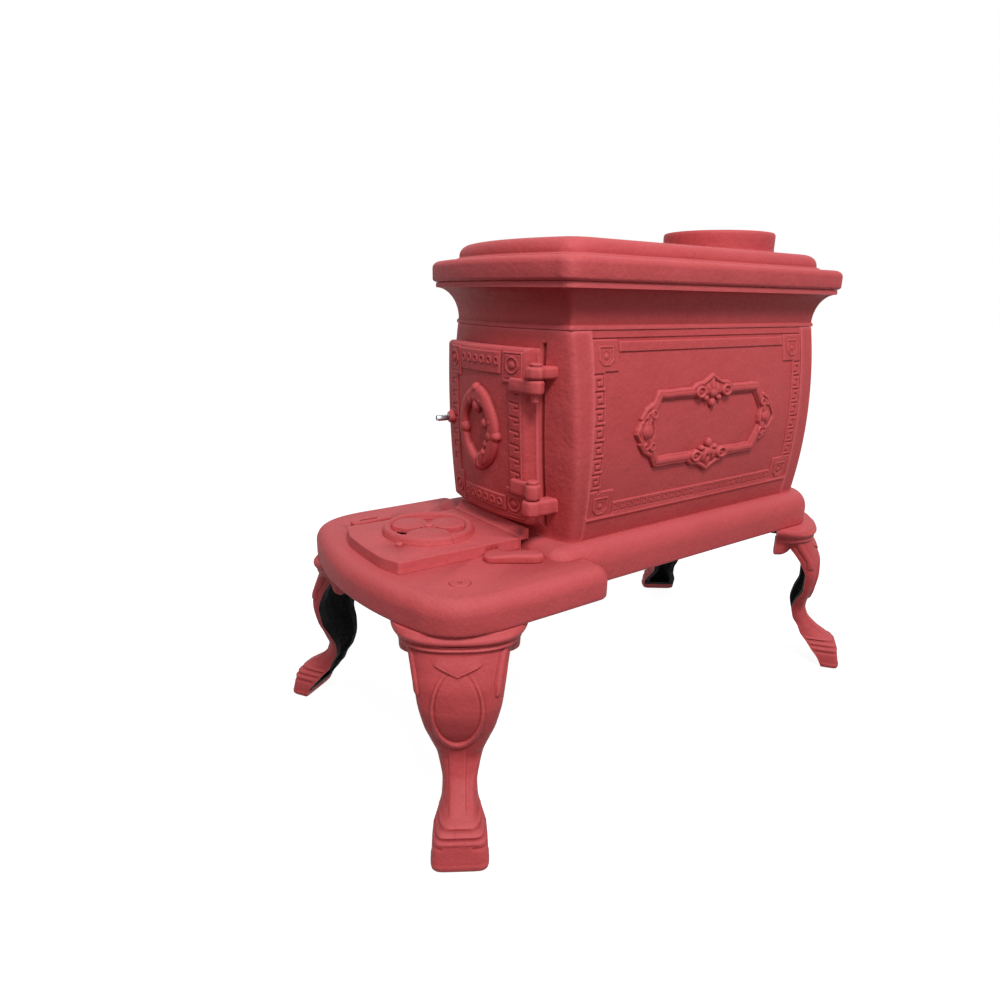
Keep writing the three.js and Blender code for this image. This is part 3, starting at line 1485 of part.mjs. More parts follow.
// The whole stove stands with the middle of its bounding box over the origin.
const bounds = new THREE.Box3().setFromObject(group);
const middle = bounds.getCenter(new THREE.Vector3());
group.children.forEach((mesh) => mesh.geometry.translate(-middle.x, -middle.y, -bounds.min.z));

export default group;
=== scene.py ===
"""A cast iron box stove in red primer, dressed over its fixed frame.

Shapes are drawn in millimetres in the stove's plan: X across, Y from the front body corners
backwards, Z from a datum just under the soles. to_frame() turns them into the frame's metres.
"""
import math

import bmesh
import bpy
import numpy as np
from mathutils import Matrix, Vector


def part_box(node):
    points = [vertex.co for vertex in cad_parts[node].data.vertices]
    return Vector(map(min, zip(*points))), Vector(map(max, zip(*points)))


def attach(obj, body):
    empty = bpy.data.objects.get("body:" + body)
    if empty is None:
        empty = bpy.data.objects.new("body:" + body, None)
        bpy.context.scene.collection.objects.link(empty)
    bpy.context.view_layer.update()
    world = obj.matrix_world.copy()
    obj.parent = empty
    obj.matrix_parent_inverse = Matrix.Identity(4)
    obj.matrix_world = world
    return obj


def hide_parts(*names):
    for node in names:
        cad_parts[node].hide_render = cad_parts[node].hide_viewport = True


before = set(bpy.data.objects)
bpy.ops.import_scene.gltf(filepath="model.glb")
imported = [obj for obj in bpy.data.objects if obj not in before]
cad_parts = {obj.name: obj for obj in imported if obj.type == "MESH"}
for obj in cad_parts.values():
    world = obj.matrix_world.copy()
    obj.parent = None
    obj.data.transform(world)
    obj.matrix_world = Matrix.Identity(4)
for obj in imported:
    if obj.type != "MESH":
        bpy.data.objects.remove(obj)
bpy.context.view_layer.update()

MM = 0.001
LID_Y, COLLAR_Y = 130.0, 361.0
SOLE_Z = 5.0
collar_low, collar_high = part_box("flue_collar")
SHIFT = np.array([0.0, (collar_low.y + collar_high.y) / (2 * MM) - COLLAR_Y, -SOLE_Z])

# Heights
RIM_Z, HEARTH_Z, SEAT_Z = 228.8, 264.0, 274.5
COVE_Z, FLANGE_Z, FLANGE_TOP_Z, PANEL_TOP_Z = 509.6, 558.5, 583.5, 603.2
GAP = 0.3

# Firebox walls
WALL = 6.0
FOOT_HALF, NECK_HALF, SWELL, OVERHANG = 112.4, 110.8, 12.0, 24.0
END_BOW, LEAN = 22.0, 12.0
REAR_Y, FRONT_SEAM_Y, REAR_SEAM_Y = 441.5, 28.0, 411.0
PLINTH_Z, RECESS = 301.0, 2.4

# Fixings of the right legs in plan, and the turn of each leg about its fixing in degrees
FRONT_BOLT, FRONT_TURN = (117.0, -140.0), -32.2
REAR_SCREW, REAR_TURN = (100.1, 443.9), 36.0

# Door: its opening, the hinge line in plan, and the latch across and in height
OPENING_X, OPENING_Z = (-81.0, 72.0), (301.0, 480.0)
HINGE, KNUCKLE = (89.0, -28.0), 11.0
LATCH = (-71.0, 397.0)
DOOR_THICK = 18.0


# ---------------------------------------------------------------- small maths

def smooth(t):
    t = np.clip(t, 0.0, 1.0)
    return t * t * (3 - 2 * t)


def raised(distance, soft):
    """1 inside an outline and 0 outside it, with a soft edge of that width."""
    return smooth(0.5 - distance / soft)


def dome(distance, reach):
    """A rounded swell: full in the middle of an outline and 0 on its edge."""
    t = np.clip(-distance / reach, 0.0, 1.0)
    return np.sqrt(np.clip(1 - (1 - t) ** 2, 0.0, 1.0))


def unit(v):
    return v / np.maximum(np.linalg.norm(v, axis=-1, keepdims=True), 1e-9)


def sd_box(a, b, a0, a1, b0, b1, corner=0.0):
    da = np.abs(a - (a0 + a1) / 2) - abs(a1 - a0) / 2 + corner
    db = np.abs(b - (b0 + b1) / 2) - abs(b1 - b0) / 2 + corner
    outside = np.hypot(np.maximum(da, 0), np.maximum(db, 0))
    return outside + np.minimum(np.maximum(da, db), 0) - corner


def sd_round(a, b, ca, cb, radius):
    return np.hypot(a - ca, b - cb) - radius


def sd_oval(a, b, ca, cb, ra, rb):
    return (np.sqrt(((a - ca) / ra) ** 2 + ((b - cb) / rb) ** 2) - 1) * min(ra, rb)


def sd_line(a, b, path):
    """Distance to a chain of straight strokes."""
    best = np.full(np.shape(a), 1e6)
    for (a0, b0), (a1, b1) in zip(path[:-1], path[1:]):
        da, db = a1 - a0, b1 - b0
        t = np.clip(((a - a0) * da + (b - b0) * db) / max(da * da + db * db, 1e-9), 0, 1)
        best = np.minimum(best, np.hypot(a - a0 - t * da, b - b0 - t * db))
    return best


def sd_shape(a, b, corners):
    """Signed distance to a closed outline, negative inside."""
    inside = np.zeros(np.shape(a), bool)
    for (a0, b0), (a1, b1) in zip(corners, corners[1:] + corners[:1]):
        if b0 == b1:
            continue
        crosses = (b0 > b) != (b1 > b)
        inside ^= crosses & (a < a0 + (b - b0) * (a1 - a0) / (b1 - b0))
    edge = sd_line(a, b, corners + corners[:1])
    return np.where(inside, -edge, edge)


def waves(a, b, seed, size, count=9):
    """Gentle uneven swells, the same on every run."""
    draw = np.random.default_rng(seed)
    total = np.zeros(np.shape(a))
    for _ in range(count):
        turn, phase = draw.uniform(0, 2 * math.pi, 2)
        pitch = size * draw.uniform(0.6, 1.7)
        total += np.sin((a * math.cos(turn) + b * math.sin(turn)) * 2 * math.pi / pitch + phase)
    return total / math.sqrt(count)


def half_width_at(z):
    share = np.clip((z - SEAT_Z) / (COVE_Z - SEAT_Z), 0, 1)
    return FOOT_HALF + (NECK_HALF - FOOT_HALF) * share + SWELL * 4 * share * (1 - share)


def lean_at(z):
    share = np.clip((COVE_Z - z) / (COVE_Z - SEAT_Z), 0, 1)
    return LEAN * share * share


def front_y(x, z):
    return lean_at(z) - END_BOW * (1 - (x / half_width_at(z)) ** 2)


# ---------------------------------------------------------------- meshes

def to_frame(points):
    return (np.asarray(points, float).reshape(-1, 3) + SHIFT) * MM


def solid(points, faces):
    """A closed mesh object in the frame's metres, with its faces turned outwards."""
    mesh = bpy.data.meshes.new("shape")
    mesh.from_pydata(to_frame(points).tolist(), [], faces)
    bm = bmesh.new()
    bm.from_mesh(mesh)
    bmesh.ops.delete(bm, geom=[v for v in bm.verts if not v.link_faces], context="VERTS")
    bmesh.ops.remove_doubles(bm, verts=bm.verts, dist=2e-6)
    bmesh.ops.dissolve_degenerate(bm, edges=bm.edges, dist=1e-6)
    bmesh.ops.recalc_face_normals(bm, faces=bm.faces)
    bm.to_mesh(mesh)
    bm.free()
    obj = bpy.data.objects.new("shape", mesh)
    bpy.context.scene.collection.objects.link(obj)
    return obj


def combine(target, mode, *tools):
    """Joins other shapes to a shape or cuts them out of it, and uses them up."""
    for tool in tools:
        step = target.modifiers.new(mode, "BOOLEAN")
        step.operation, step.object, step.solver = mode, tool, "MANIFOLD"
    bpy.context.view_layer.update()
    graph = bpy.context.evaluated_depsgraph_get()
    made = bpy.data.meshes.new_from_object(target.evaluated_get(graph))
    target.modifiers.clear()
    target.data = made
    for tool in tools:
        bpy.data.objects.remove(tool)
    return target


def join(target, *tools):
    return combine(target, "UNION", *tools)


def cut(target, *tools):
    return combine(target, "DIFFERENCE", *tools)


def shell(front, back, keep=None):
    """A closed plate between two grids of points. keep says which cells are there."""
    rows, columns = front.shape[:2]
    if keep is None:
        keep = np.ones((rows - 1, columns - 1), bool)
    offset = rows * columns
    i, j = np.nonzero(keep)
    corner = lambda di, dj: (i + di) * columns + j + dj
    a, b, c, d = corner(0, 0), corner(1, 0), corner(1, 1), corner(0, 1)
    faces = [np.stack([a, b, c, d], 1), np.stack([d, c, b, a], 1) + offset]
    framed = np.pad(keep, 1)
    for near, p, q in (
        (framed[:-2, 1:-1], a, d), (framed[2:, 1:-1], b, c),
        (framed[1:-1, :-2], a, b), (framed[1:-1, 2:], d, c),
    ):
        bare = ~near[i, j]
        faces.append(np.stack([p[bare], q[bare], q[bare] + offset, p[bare] + offset], 1))
    points = np.concatenate([front.reshape(-1, 3), back.reshape(-1, 3)])
    return solid(points, np.concatenate(faces).tolist())


def loft(rings, closed=False):
    """Skins rings of points. A closed loft runs back to its first ring, and others get end caps."""
    rings = np.asarray(rings, float)
    levels, count = rings.shape[:2]
    low = np.arange(levels if closed else levels - 1)[:, None] * count
    high = (low + count) % (levels * count)
    here = np.arange(count)[None, :]
    there = (here + 1) % count
    quads = np.stack([low + here, low + there, high + there, high + here], -1)
    quads = quads.reshape(-1, 4).tolist()
    if not closed:
        quads.append(list(range(count))[::-1])
        quads.append(list(range((levels - 1) * count, levels * count)))
    return solid(rings, quads)


def ring_at(plan, z):
    plan = np.asarray(plan, float)
    return np.column_stack([plan, np.full(len(plan), float(z))])


def block(plan, z0, z1):
    return loft([ring_at(plan, z0), ring_at(plan, z1)])


def inset(plan, distance):
    before, after = np.roll(plan, 1, 0), np.roll(plan, -1, 0)
    one, two = unit(plan - before), unit(after - plan)
    normal = unit(np.column_stack([-(one[:, 1] + two[:, 1]), one[:, 0] + two[:, 0]]))
    share = np.maximum(normal[:, 0] * -one[:, 1] + normal[:, 1] * one[:, 0], 0.7071)
    return plan + normal * (distance / share)[:, None]


def pillow(plan, z0, z1, top=2.0, foot=0.0, steps=5):
    """A block with rounded upper edges and, if asked, rounded lower edges."""
    plan = np.asarray(plan, float)
    turns = np.linspace(0, math.pi / 2, steps + 1)
    rings = []
    if foot:
        for t in turns:
            rings.append(ring_at(inset(plan, foot * (1 - math.sin(t))), z0 + foot * (1 - math.cos(t))))
    else:
        rings.append(ring_at(plan, z0))
    for t in turns:
        rings.append(ring_at(inset(plan, top * (1 - math.cos(t))), z1 - top * (1 - math.sin(t))))
    return loft(rings)


def circle(x, y, radius, steps=64):
    turn = np.linspace(0, 2 * math.pi, steps, endpoint=False)
    return np.column_stack([x + radius * np.cos(turn), y + radius * np.sin(turn)])


def post(x, y, z0, z1, radius, steps=64):
    return block(circle(x, y, radius, steps), z0, z1)


def turned(x, y, profile, steps=96, closed=False):
    """Turns a profile of (radius, height) pairs round a vertical line."""
    return loft([ring_at(circle(x, y, max(r, 0.01), steps), z) for r, z in profile], closed)


def lifted(z, profile):
    """A profile of (radius, rise) pairs set at a height."""
    return [(radius, z + rise) for radius, rise in profile]


def spun(x, z, profile, steps=64):
    """Turns a profile of (radius, depth) pairs round a line along Y."""
    return loft([circle(x, z, max(r, 0.01), steps)[:, [0, 0, 1]] * [1, 0, 1] + [0, y, 0] for r, y in profile])


def box(x0, x1, y0, y1, z0, z1):
    return block(np.array([[x0, y0], [x1, y0], [x1, y1], [x0, y1]]), z0, z1)


def refined(plan, step):
    """The same outline with points no further apart than a step."""
    made = []
    plan = np.asarray(plan, float)
    for p, q in zip(plan, np.roll(plan, -1, 0)):
        parts = max(1, int(math.ceil(np.linalg.norm(q - p) / step)))
        made += [p + (q - p) * k / parts for k in range(parts)]
    return np.array(made)


def softened(plan, radius, steps=6):
    """An outline with its corners rounded."""
    made = []
    plan = np.asarray(plan, float)
    for before, p, after in zip(np.roll(plan, 1, 0), plan, np.roll(plan, -1, 0)):
        back, ahead = before - p, after - p
        r0 = min(radius, np.linalg.norm(back) * 0.45)
        r1 = min(radius, np.linalg.norm(ahead) * 0.45)
        start, end = p + unit(back) * r0, p + unit(ahead) * r1
        for t in np.linspace(0, 1, steps + 1):
            made.append(start * (1 - t) ** 2 + p * 2 * t * (1 - t) + end * t * t)
    return np.array(made)


def piece(obj, name, body, material, nodes=(), crease=32):
    """Names a shape, paints it and hangs it on its body."""
    obj.name = obj.data.name = name
    if not any(obj.data.materials):
        obj.data.materials.clear()
        obj.data.materials.append(material)
    obj.data.shade_smooth()
    obj.data.set_sharp_from_angle(angle=math.radians(crease))
    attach(obj, body)
    if nodes:
        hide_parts(*nodes)
    return obj


# ---------------------------------------------------------------- materials

def srgb(r, g, b):
    linear = [(c / 255 / 12.92) if c <= 10 else ((c / 255 + 0.055) / 1.055) ** 2.4 for c in (r, g, b)]
    return (*linear, 1.0)


def add_node(tree, kind, **values):
    """A new node, with values for its sockets and settings."""
    node = tree.nodes.new(kind)
    for key, value in values.items():
        if key in node.inputs:
            node.inputs[key].default_value = value
        else:
            setattr(node, key, value)
    return node


class Nodes:
    """A short way to write a node tree."""

    def __init__(self, name):
        self.material = bpy.data.materials.new(name)
        self.material.use_nodes = True
        self.tree = self.material.node_tree
        self.tree.nodes.clear()
        self.shader = self.add("ShaderNodeBsdfPrincipled")
        out = self.add("ShaderNodeOutputMaterial")
        self.link(self.shader, 0, out, "Surface")
        self.where = self.add("ShaderNodeNewGeometry")

    def add(self, kind, **values):
        return add_node(self.tree, kind, **values)

    def link(self, source, output, target, socket):
        self.tree.links.new(source.outputs[output], target.inputs[socket])

    def textured(self, kind, **values):
        """A texture node fixed to the object."""
        node = self.add(kind, **values)
        self.link(self.add("ShaderNodeTexCoord"), "Object", node, "Vector")
        return node

    def noise(self, scale, detail=4.0, roughness=0.55):
        return self.textured("ShaderNodeTexNoise", Scale=scale, Detail=detail, Roughness=roughness)

    def ramp(self, source, output, stops):
        node = self.add("ShaderNodeValToRGB")
        marks = node.color_ramp.elements
        while len(marks) < len(stops):
            marks.new(0.5)
        for mark, (at, colour) in zip(marks, stops):
            mark.position = at
            mark.color = colour if isinstance(colour, tuple) else (colour, colour, colour, 1)
        self.link(source, output, node, "Fac")
        return node

    def blend(self, amount, one, two, mode="MIX"):
        node = self.add("ShaderNodeMix", data_type="RGBA", blend_type=mode)
        for source, socket in ((amount, 0), (one, 6), (two, 7)):
            if isinstance(source, tuple) and isinstance(source[0], bpy.types.Node):
                self.tree.links.new(source[0].outputs[source[1]], node.inputs[socket])
            else:
                node.inputs[socket].default_value = source
        return node

    def bump(self, height, output, strength, distance, below=None):
        node = self.add("ShaderNodeBump", Strength=strength, Distance=distance)
        self.link(height, output, node, "Height")
        if below is not None:
            self.link(below, "Normal", node, "Normal")
        return node


def primer(name, tone=1.0):
    """Matte red-oxide primer sprayed on sand-cast iron: cloudy, grainy, with small pits, and with painted
    light and shade by facing, on edges and in creases.
    """
    n = Nodes(name)
    shade = lambda *rgb: tuple(min(c * tone, 1.0) for c in srgb(*rgb)[:3]) + (1.0,)
    clouds = n.noise(9.0, 5.0, 0.6)
    cloud_mask = n.ramp(clouds, "Fac", [(0.3, 0.0), (0.72, 1.0)])
    dust = n.noise(420.0, 3.0, 0.7)
    dust_mask = n.ramp(dust, "Fac", [(0.35, 0.0), (0.7, 1.0)])
    base = n.blend((cloud_mask, 0), shade(178, 58, 61), shade(196, 74, 77))
    # Painted shade: faces turned downwards, such as the cove under the top plate, get a darker, deeper red.
    facing = n.add("ShaderNodeSeparateXYZ")
    n.link(n.where, "Normal", facing, "Vector")
    turned_down = n.add("ShaderNodeMath", operation="MULTIPLY")
    n.link(facing, "Z", turned_down, 0)
    turned_down.inputs[1].default_value = -1.0
    lower = n.ramp(turned_down, 0, [(0.0, 0.0), (0.42, 1.0)])
    base = n.blend((lower, 0), (base, 2), shade(142, 26, 29))
    # Painted highlight: faces turned upwards get a paler red, as if lit from above.
    upper = n.ramp(facing, "Z", [(0.55, 0.0), (0.98, 0.6)])
    base = n.blend((upper, 0), (base, 2), shade(200, 96, 100))
    speck = n.blend((dust_mask, 0), (base, 2), shade(168, 50, 54))
    base = n.blend(0.22, (base, 2), (speck, 2))
    # Painted highlight: convex edges are lightened.
    edge_highlight = n.ramp(n.where, "Pointiness", [(0.49, 0.0), (0.57, 1.0)])
    fine = n.blend((edge_highlight, 0), (base, 2), shade(212, 92, 96))
    # Painted shade: creases and hollows are darkened.
    hollow = n.ramp(n.where, "Pointiness", [(0.43, 1.0), (0.495, 0.0)])
    crease_shaded = n.blend((hollow, 0), (fine, 2), shade(140, 30, 34))
    n.link(crease_shaded, 2, n.shader, "Base Color")
    rough = n.ramp(dust, "Fac", [(0.3, 0.58), (0.75, 0.74)])
    n.link(rough, 0, n.shader, "Roughness")
    n.shader.inputs["Specular IOR Level"].default_value = 0.42
    swell = n.noise(48.0, 3.0, 0.5)
    skin = n.bump(swell, "Fac", 0.6, 0.003)
    sand = n.noise(210.0, 5.0, 0.7)
    skin = n.bump(sand, "Fac", 0.7, 0.0014, skin)
    grain = n.noise(1300.0, 2.0, 0.6)
    skin = n.bump(grain, "Fac", 0.4, 0.00035, skin)
    pits = n.textured("ShaderNodeTexVoronoi", Scale=95.0, Randomness=1.0)
    rare = n.noise(30.0, 2.0, 0.5)
    gate = n.ramp(rare, "Fac", [(0.6, 0.0), (0.68, 1.0)])
    hole = n.ramp(pits, "Distance", [(0.05, 1.0), (0.12, 0.0)])
    both = n.blend(1.0, (gate, 0), (hole, 0), "MULTIPLY")
    flat = n.ramp(both, 2, [(0.0, 1.0), (1.0, 0.0)])
    skin = n.bump(flat, 0, 0.6, 0.0012, skin)
    n.link(skin, "Normal", n.shader, "Normal")
    return n.material


def metal(name, dark, light, roughness, metallic, grain=700.0, stretch=None, gloss=0.5):
    """Bare or blackened metal with a fine uneven surface."""
    n = Nodes(name)
    marks = n.noise(grain, 3.0, 0.6)
    if stretch is not None:
        n.link(n.textured("ShaderNodeMapping", Scale=stretch), "Vector", marks, "Vector")
    colour = n.ramp(marks, "Fac", [(0.3, dark), (0.7, light)])
    n.link(colour, 0, n.shader, "Base Color")
    rough = n.ramp(marks, "Fac", [(0.3, 0.8 * roughness), (0.75, min(1.25 * roughness, 1.0))])
    n.link(rough, 0, n.shader, "Roughness")
    n.shader.inputs["Metallic"].default_value = metallic
    n.shader.inputs["Specular IOR Level"].default_value = gloss
    skin = n.bump(marks, "Fac", 0.25, 0.0003)
    n.link(skin, "Normal", n.shader, "Normal")
    return n.material


PRIMER = primer("red_primer")
PRIMER_BOLT = primer("red_primer_fastener", 0.96)
STEEL = metal("bare_steel_lathe", srgb(140, 146, 156), srgb(226, 230, 236), 0.22, 1.0, 500.0,
              (1.0, 0.12, 1.0))
IRON = metal("bare_iron", srgb(58, 54, 52), srgb(92, 84, 79), 0.62, 0.55)
# Near-black colour for the faces inside the legs' hollows and on the rims of their open backs.
BLACK = metal("near_black_inside", srgb(5, 5, 5), srgb(14, 13, 14), 0.8, 0.0, 240.0, gloss=0.15)


# ---------------------------------------------------------------- relief

def flats(h, a, b, soft, blocks):
    """Lays low flat blocks over a relief: (height, a0, a1, b0, b1, corner) each."""
    for rise, a0, a1, b0, b1, corner in blocks:
        h = np.maximum(h, rise * raised(sd_box(a, b, a0, a1, b0, b1, corner), soft))
    return h


def domes(h, a, b, beads):
    """Lays round and oval beads over a relief: (height, across, up, half width, half height, reach) each."""
    for rise, ca, cb, ra, rb, reach in beads:
        h = np.maximum(h, rise * dome(sd_oval(a, b, ca, cb, ra, rb), reach))
    return h


def fret(a, b, a0, b0, width, pitch, count, up=1):
    """Square meander units stacked along b, as a groove distance."""
    best = np.full(np.shape(a), 1e6)
    for k in range(count):
        low = b0 + up * k * pitch
        turns = ((0.98, 0.08), (0.16, 0.08), (0.16, 0.8), (0.74, 0.8), (0.74, 0.42), (0.46, 0.42))
        path = [(a0 + s * width, low + up * t * pitch) for s, t in turns]
        best = np.minimum(best, sd_line(a, b, path))
    return best


def hooks(a, b, a0, b0, width, pitch, count):
    """A column of short hooked strokes, as a groove distance."""
    best = np.full(np.shape(a), 1e6)
    for k in range(count):
        low = b0 - k * pitch
        path = [(a0 + 0.06 * width, low), (a0 + 0.82 * width, low - 1.2),
                (a0 + 0.86 * width, low - pitch * 0.4), (a0 + 0.5 * width, low - pitch * 0.44)]
        best = np.minimum(best, sd_line(a, b, path))
    return best


def volute(a, b, ca, cb, radius):
    """A small scroll: a rolled ring round a bead."""
    ring = dome(np.abs(sd_round(a, b, ca, cb, radius * 0.68)) - radius * 0.34, radius * 0.34)
    bead = dome(sd_round(a, b, ca, cb, radius * 0.3), radius * 0.3)
    return np.maximum(ring, bead * 0.8)


def shield(a, b, ca, cb, ha, hb):
    """The outline of a small square shield with a pointed foot."""
    corners = [(-1, 1), (1, 1), (1, -0.4), (0.45, -1), (-0.45, -1), (-1, -0.4)]
    return np.abs(sd_shape(a, b, [(ca + s * ha, cb + t * hb) for s, t in corners]))


def palmette(a, b, ca, cb, up, size=1.0):
    """The crest of the cartouche: a fan shell between two volutes, with a drop below."""
    u, v = (a - ca) / (size * 1.25), (b - cb) * up / size
    fan = sd_shape(u, v, [(-10, -5), (-11, 3), (-8, 8.5), (-3.8, 11), (0, 17.5), (3.8, 11), (8, 8.5),
                          (11, 3), (10, -5), (5, -9), (0, -10.5), (-5, -9)])
    turn = np.arctan2(u, v + 14)
    ribs = 0.8 + 0.2 * np.cos(turn * 17)
    h = 6.0 * dome(fan, 7.0) * ribs
    hood = sd_line(u, v, [(-28, 1), (-21, 6.5), (-12, 8), (-6, 11.5), (0, 15.5),
                          (6, 11.5), (12, 8), (21, 6.5), (28, 1)])
    h = np.maximum(h, 4.6 * dome(hood - 3.0, 3.0))
    web = sd_shape(u, v, [(-26, 3), (-18, 7), (18, 7), (26, 3), (24, -5), (-24, -5)])
    h = np.maximum(h, 3.4 * raised(web, 2.4))
    for side in (-1, 1):
        h = np.maximum(h, 6.8 * volute(u, v, side * 17.5, -1.0, 7.4))
        tail = sd_line(u, v, [(side * 24, -3), (side * 33, 0.5)])
        h = np.maximum(h, 4.4 * dome(tail - 3.8, 3.8))
        h = np.maximum(h, 5.4 * dome(sd_round(u, v, side * 8.5, -8.5, 3.6), 3.4))
    drop = sd_oval(u, v, 0, -13.5, 4.0, 6.0)
    h = np.maximum(h, 5.6 * dome(drop, 3.4))
    h = np.maximum(h, 6.4 * dome(sd_round(u, v, 0, -3.0, 6.2), 5.5))
    return h * size


def egg_leaf(a, b, ca, cb, side):
    """The end ornament of the cartouche: an egg held in a pointed, curled leaf."""
    u, v = (a - ca) * side, b - cb
    body = sd_shape(u, v, [(-13, 2), (-10, 14), (-2, 24), (5, 20), (11, 14), (19, 3),
                           (20, -3), (13, -13), (7, -21), (0, -26), (-8, -17), (-13, -6)])
    h = 3.4 * raised(body, 2.4)
    rim = np.abs(body + 2.6) - 2.2
    h = np.maximum(h, 5.2 * dome(rim, 2.2))
    egg = sd_oval(u, v, 1.0, -1.0, 9.6, 11.0)
    h = np.maximum(h, 7.6 * dome(egg, 9.0))
    for up in (-1, 1):
        h = np.maximum(h, 6.4 * volute(u, v * up, -7.5, 19.0, 6.0))
        h = np.maximum(h, 5.6 * dome(sd_round(u, v * up, 3.5, 16.0, 4.4), 4.2))
        horn = sd_line(u, v * up, [(10, 15), (3, 24), (-7, 29)])
        h = np.maximum(h, 4.6 * dome(horn - 3.6, 3.6))
    cleft = sd_line(u, v, [(11, 8), (14.5, 0), (11, -9)])
    return h - 1.3 * raised(cleft - 0.8, 1.8) * (h > 2)


def side_relief(y, z):
    """Height of the side panel's ornament over its recessed field."""
    mid, square_y = 219.5, 171.5
    u = np.abs(y - mid)
    h = flats(np.zeros_like(y), u, z, 1.5, (
        (1.7, square_y - 18.5, square_y + 18.5, 466, 500, 1.5),
        (1.7, square_y - 18.5, square_y + 18.5, 299, 333, 1.5),
        (1.7, square_y + 2.5, square_y + 18.5, 318, 483, 1.0),
    ))
    h = flats(h, u, z, 1.4, (
        (1.8, 0, square_y - 21, 486.5, 497.5, 0.5),
        (1.8, 0, square_y - 21, 301, 317, 0.5),
    ))
    for cz in (483.0, 315.0):
        crest = shield(u, z, square_y, cz, 10.0, 9.5)
        h += 1.1 * raised(crest - 0.9, 1.2)
        h -= 0.7 * raised(np.abs(sd_round(u, z, square_y, cz - 0.5, 4.6)) - 0.5, 1.2)
        h += 0.9 * dome(sd_round(u, z, square_y, cz - 0.5, 2.6), 2.6)
    column = (u > square_y + 1) & (z < 466) & (z > 330)
    lines = fret(u, z, square_y + 2.8, 465.0, 15.6, 18.4, 8, -1)
    h -= np.where(column, 1.5 * raised(lines - 1.0, 1.5), 0)
    low_key = fret(z, u, 303.5, 6.0, 11.5, 12.2, 12)
    h -= np.where((z < 317) & (u < square_y - 22), 0.8 * raised(low_key - 0.55, 1.2), 0)
    ring_u = (u + 7) % 14.0 - 7
    ring = np.abs(np.hypot(ring_u, z - 492)) - 2.3
    in_row = (np.abs(z - 492) < 5) & (u < square_y - 28)
    h += np.where(in_row, 0.42 * raised(np.abs(ring) - 0.5, 1.2), 0)
    hexagon = [(mid - 90, 356.5), (mid + 92, 356.5), (mid + 118, 396.5),
               (mid + 92, 436.5), (mid - 90, 436.5), (mid - 113, 396.5)]
    edge = sd_shape(y, z, hexagon) + 0.35 * waves(y, z, 11, 22.0)
    bar = 5.4 * dome(np.abs(edge) - 6.2, 5.2) - 0.8 * raised(np.abs(edge - 2.2) - 0.5, 1.5)
    bar = np.maximum(bar, 2.4 * raised(np.abs(edge + 6.0) - 1.2, 1.6))
    h = np.maximum(h, bar)
    h = np.maximum(h, palmette(y, z, mid + 4, 437.0, 1, 1.12))
    h = np.maximum(h, palmette(y, z, mid + 4, 356.0, -1, 1.12))
    h = np.maximum(h, egg_leaf(y, z, mid - 108, 396.5, -1))
    h = np.maximum(h, egg_leaf(y, z, mid + 114, 396.5, 1))
    return h


def side_panel(side):
    y = np.linspace(FRONT_SEAM_Y + GAP, REAR_SEAM_Y - GAP, 500)
    z = np.linspace(SEAT_Z + GAP, COVE_Z - GAP, 320)
    y, z = np.meshgrid(y, z, indexing="ij")
    half = half_width_at(z)
    field = 0.5 + 0.5 * np.tanh((z - PLINTH_Z) / 0.9)
    edge = smooth((np.minimum(y - FRONT_SEAM_Y, REAR_SEAM_Y - y) - 1.2) / 1.4)
    high = smooth((COVE_Z - 7.5 - z) / 1.4)
    depth = RECESS * field * (0.35 + 0.65 * edge) * (0.4 + 0.6 * high)
    swell = 0.16 * waves(y, z, 5, 120.0)
    ledge = 1.1 * np.exp(-((z - PLINTH_Z + 1.5) / 2.2) ** 2)
    out = half - depth + side_relief(y, z) * field + swell * field + ledge
    front = np.stack([side * out, y, z], -1)
    back = np.stack([side * (half - WALL), y, z], -1)
    name = "right" if side > 0 else "left"
    piece(shell(front, back), f"side_panel_{name}_cast", "stove", PRIMER, [f"side_panel_{name}"], crease=60)


for hand in (1, -1):
    side_panel(hand)


# ---------------------------------------------------------------- end walls

def end_plan(z, across, end=1):
    """Outer line of an end wall from one side seam round the bowed end to the other."""
    half = half_width_at(z)
    lean = lean_at(z)
    corner, steady = 6.5, 100.0
    rise = lambda x: END_BOW * ((x / half) ** 2 - 1)
    flat = half - corner
    beyond = np.sign(across) * (steady + (np.abs(across) - steady) * (flat - steady))
    bow = np.where(np.abs(across) <= steady, across, beyond)
    t = np.linspace(0, 1, 9)[1:]
    start, knee = np.array([flat, rise(flat)]), np.array([half, 0.4])
    finish = np.array([half, corner])
    curve = start * (1 - t[:, None]) ** 2 + knee * (2 * t * (1 - t))[:, None] + finish * (t ** 2)[:, None]
    run = np.linspace(corner, FRONT_SEAM_Y - GAP - lean if end > 0 else REAR_Y - REAR_SEAM_Y - GAP, 6)[1:]
    side = np.concatenate([curve, np.column_stack([np.full(5, half), run])])
    front = np.column_stack([bow, rise(bow)])
    plan = np.concatenate([(side * [-1, 1])[::-1], front, side])
    return plan, lean


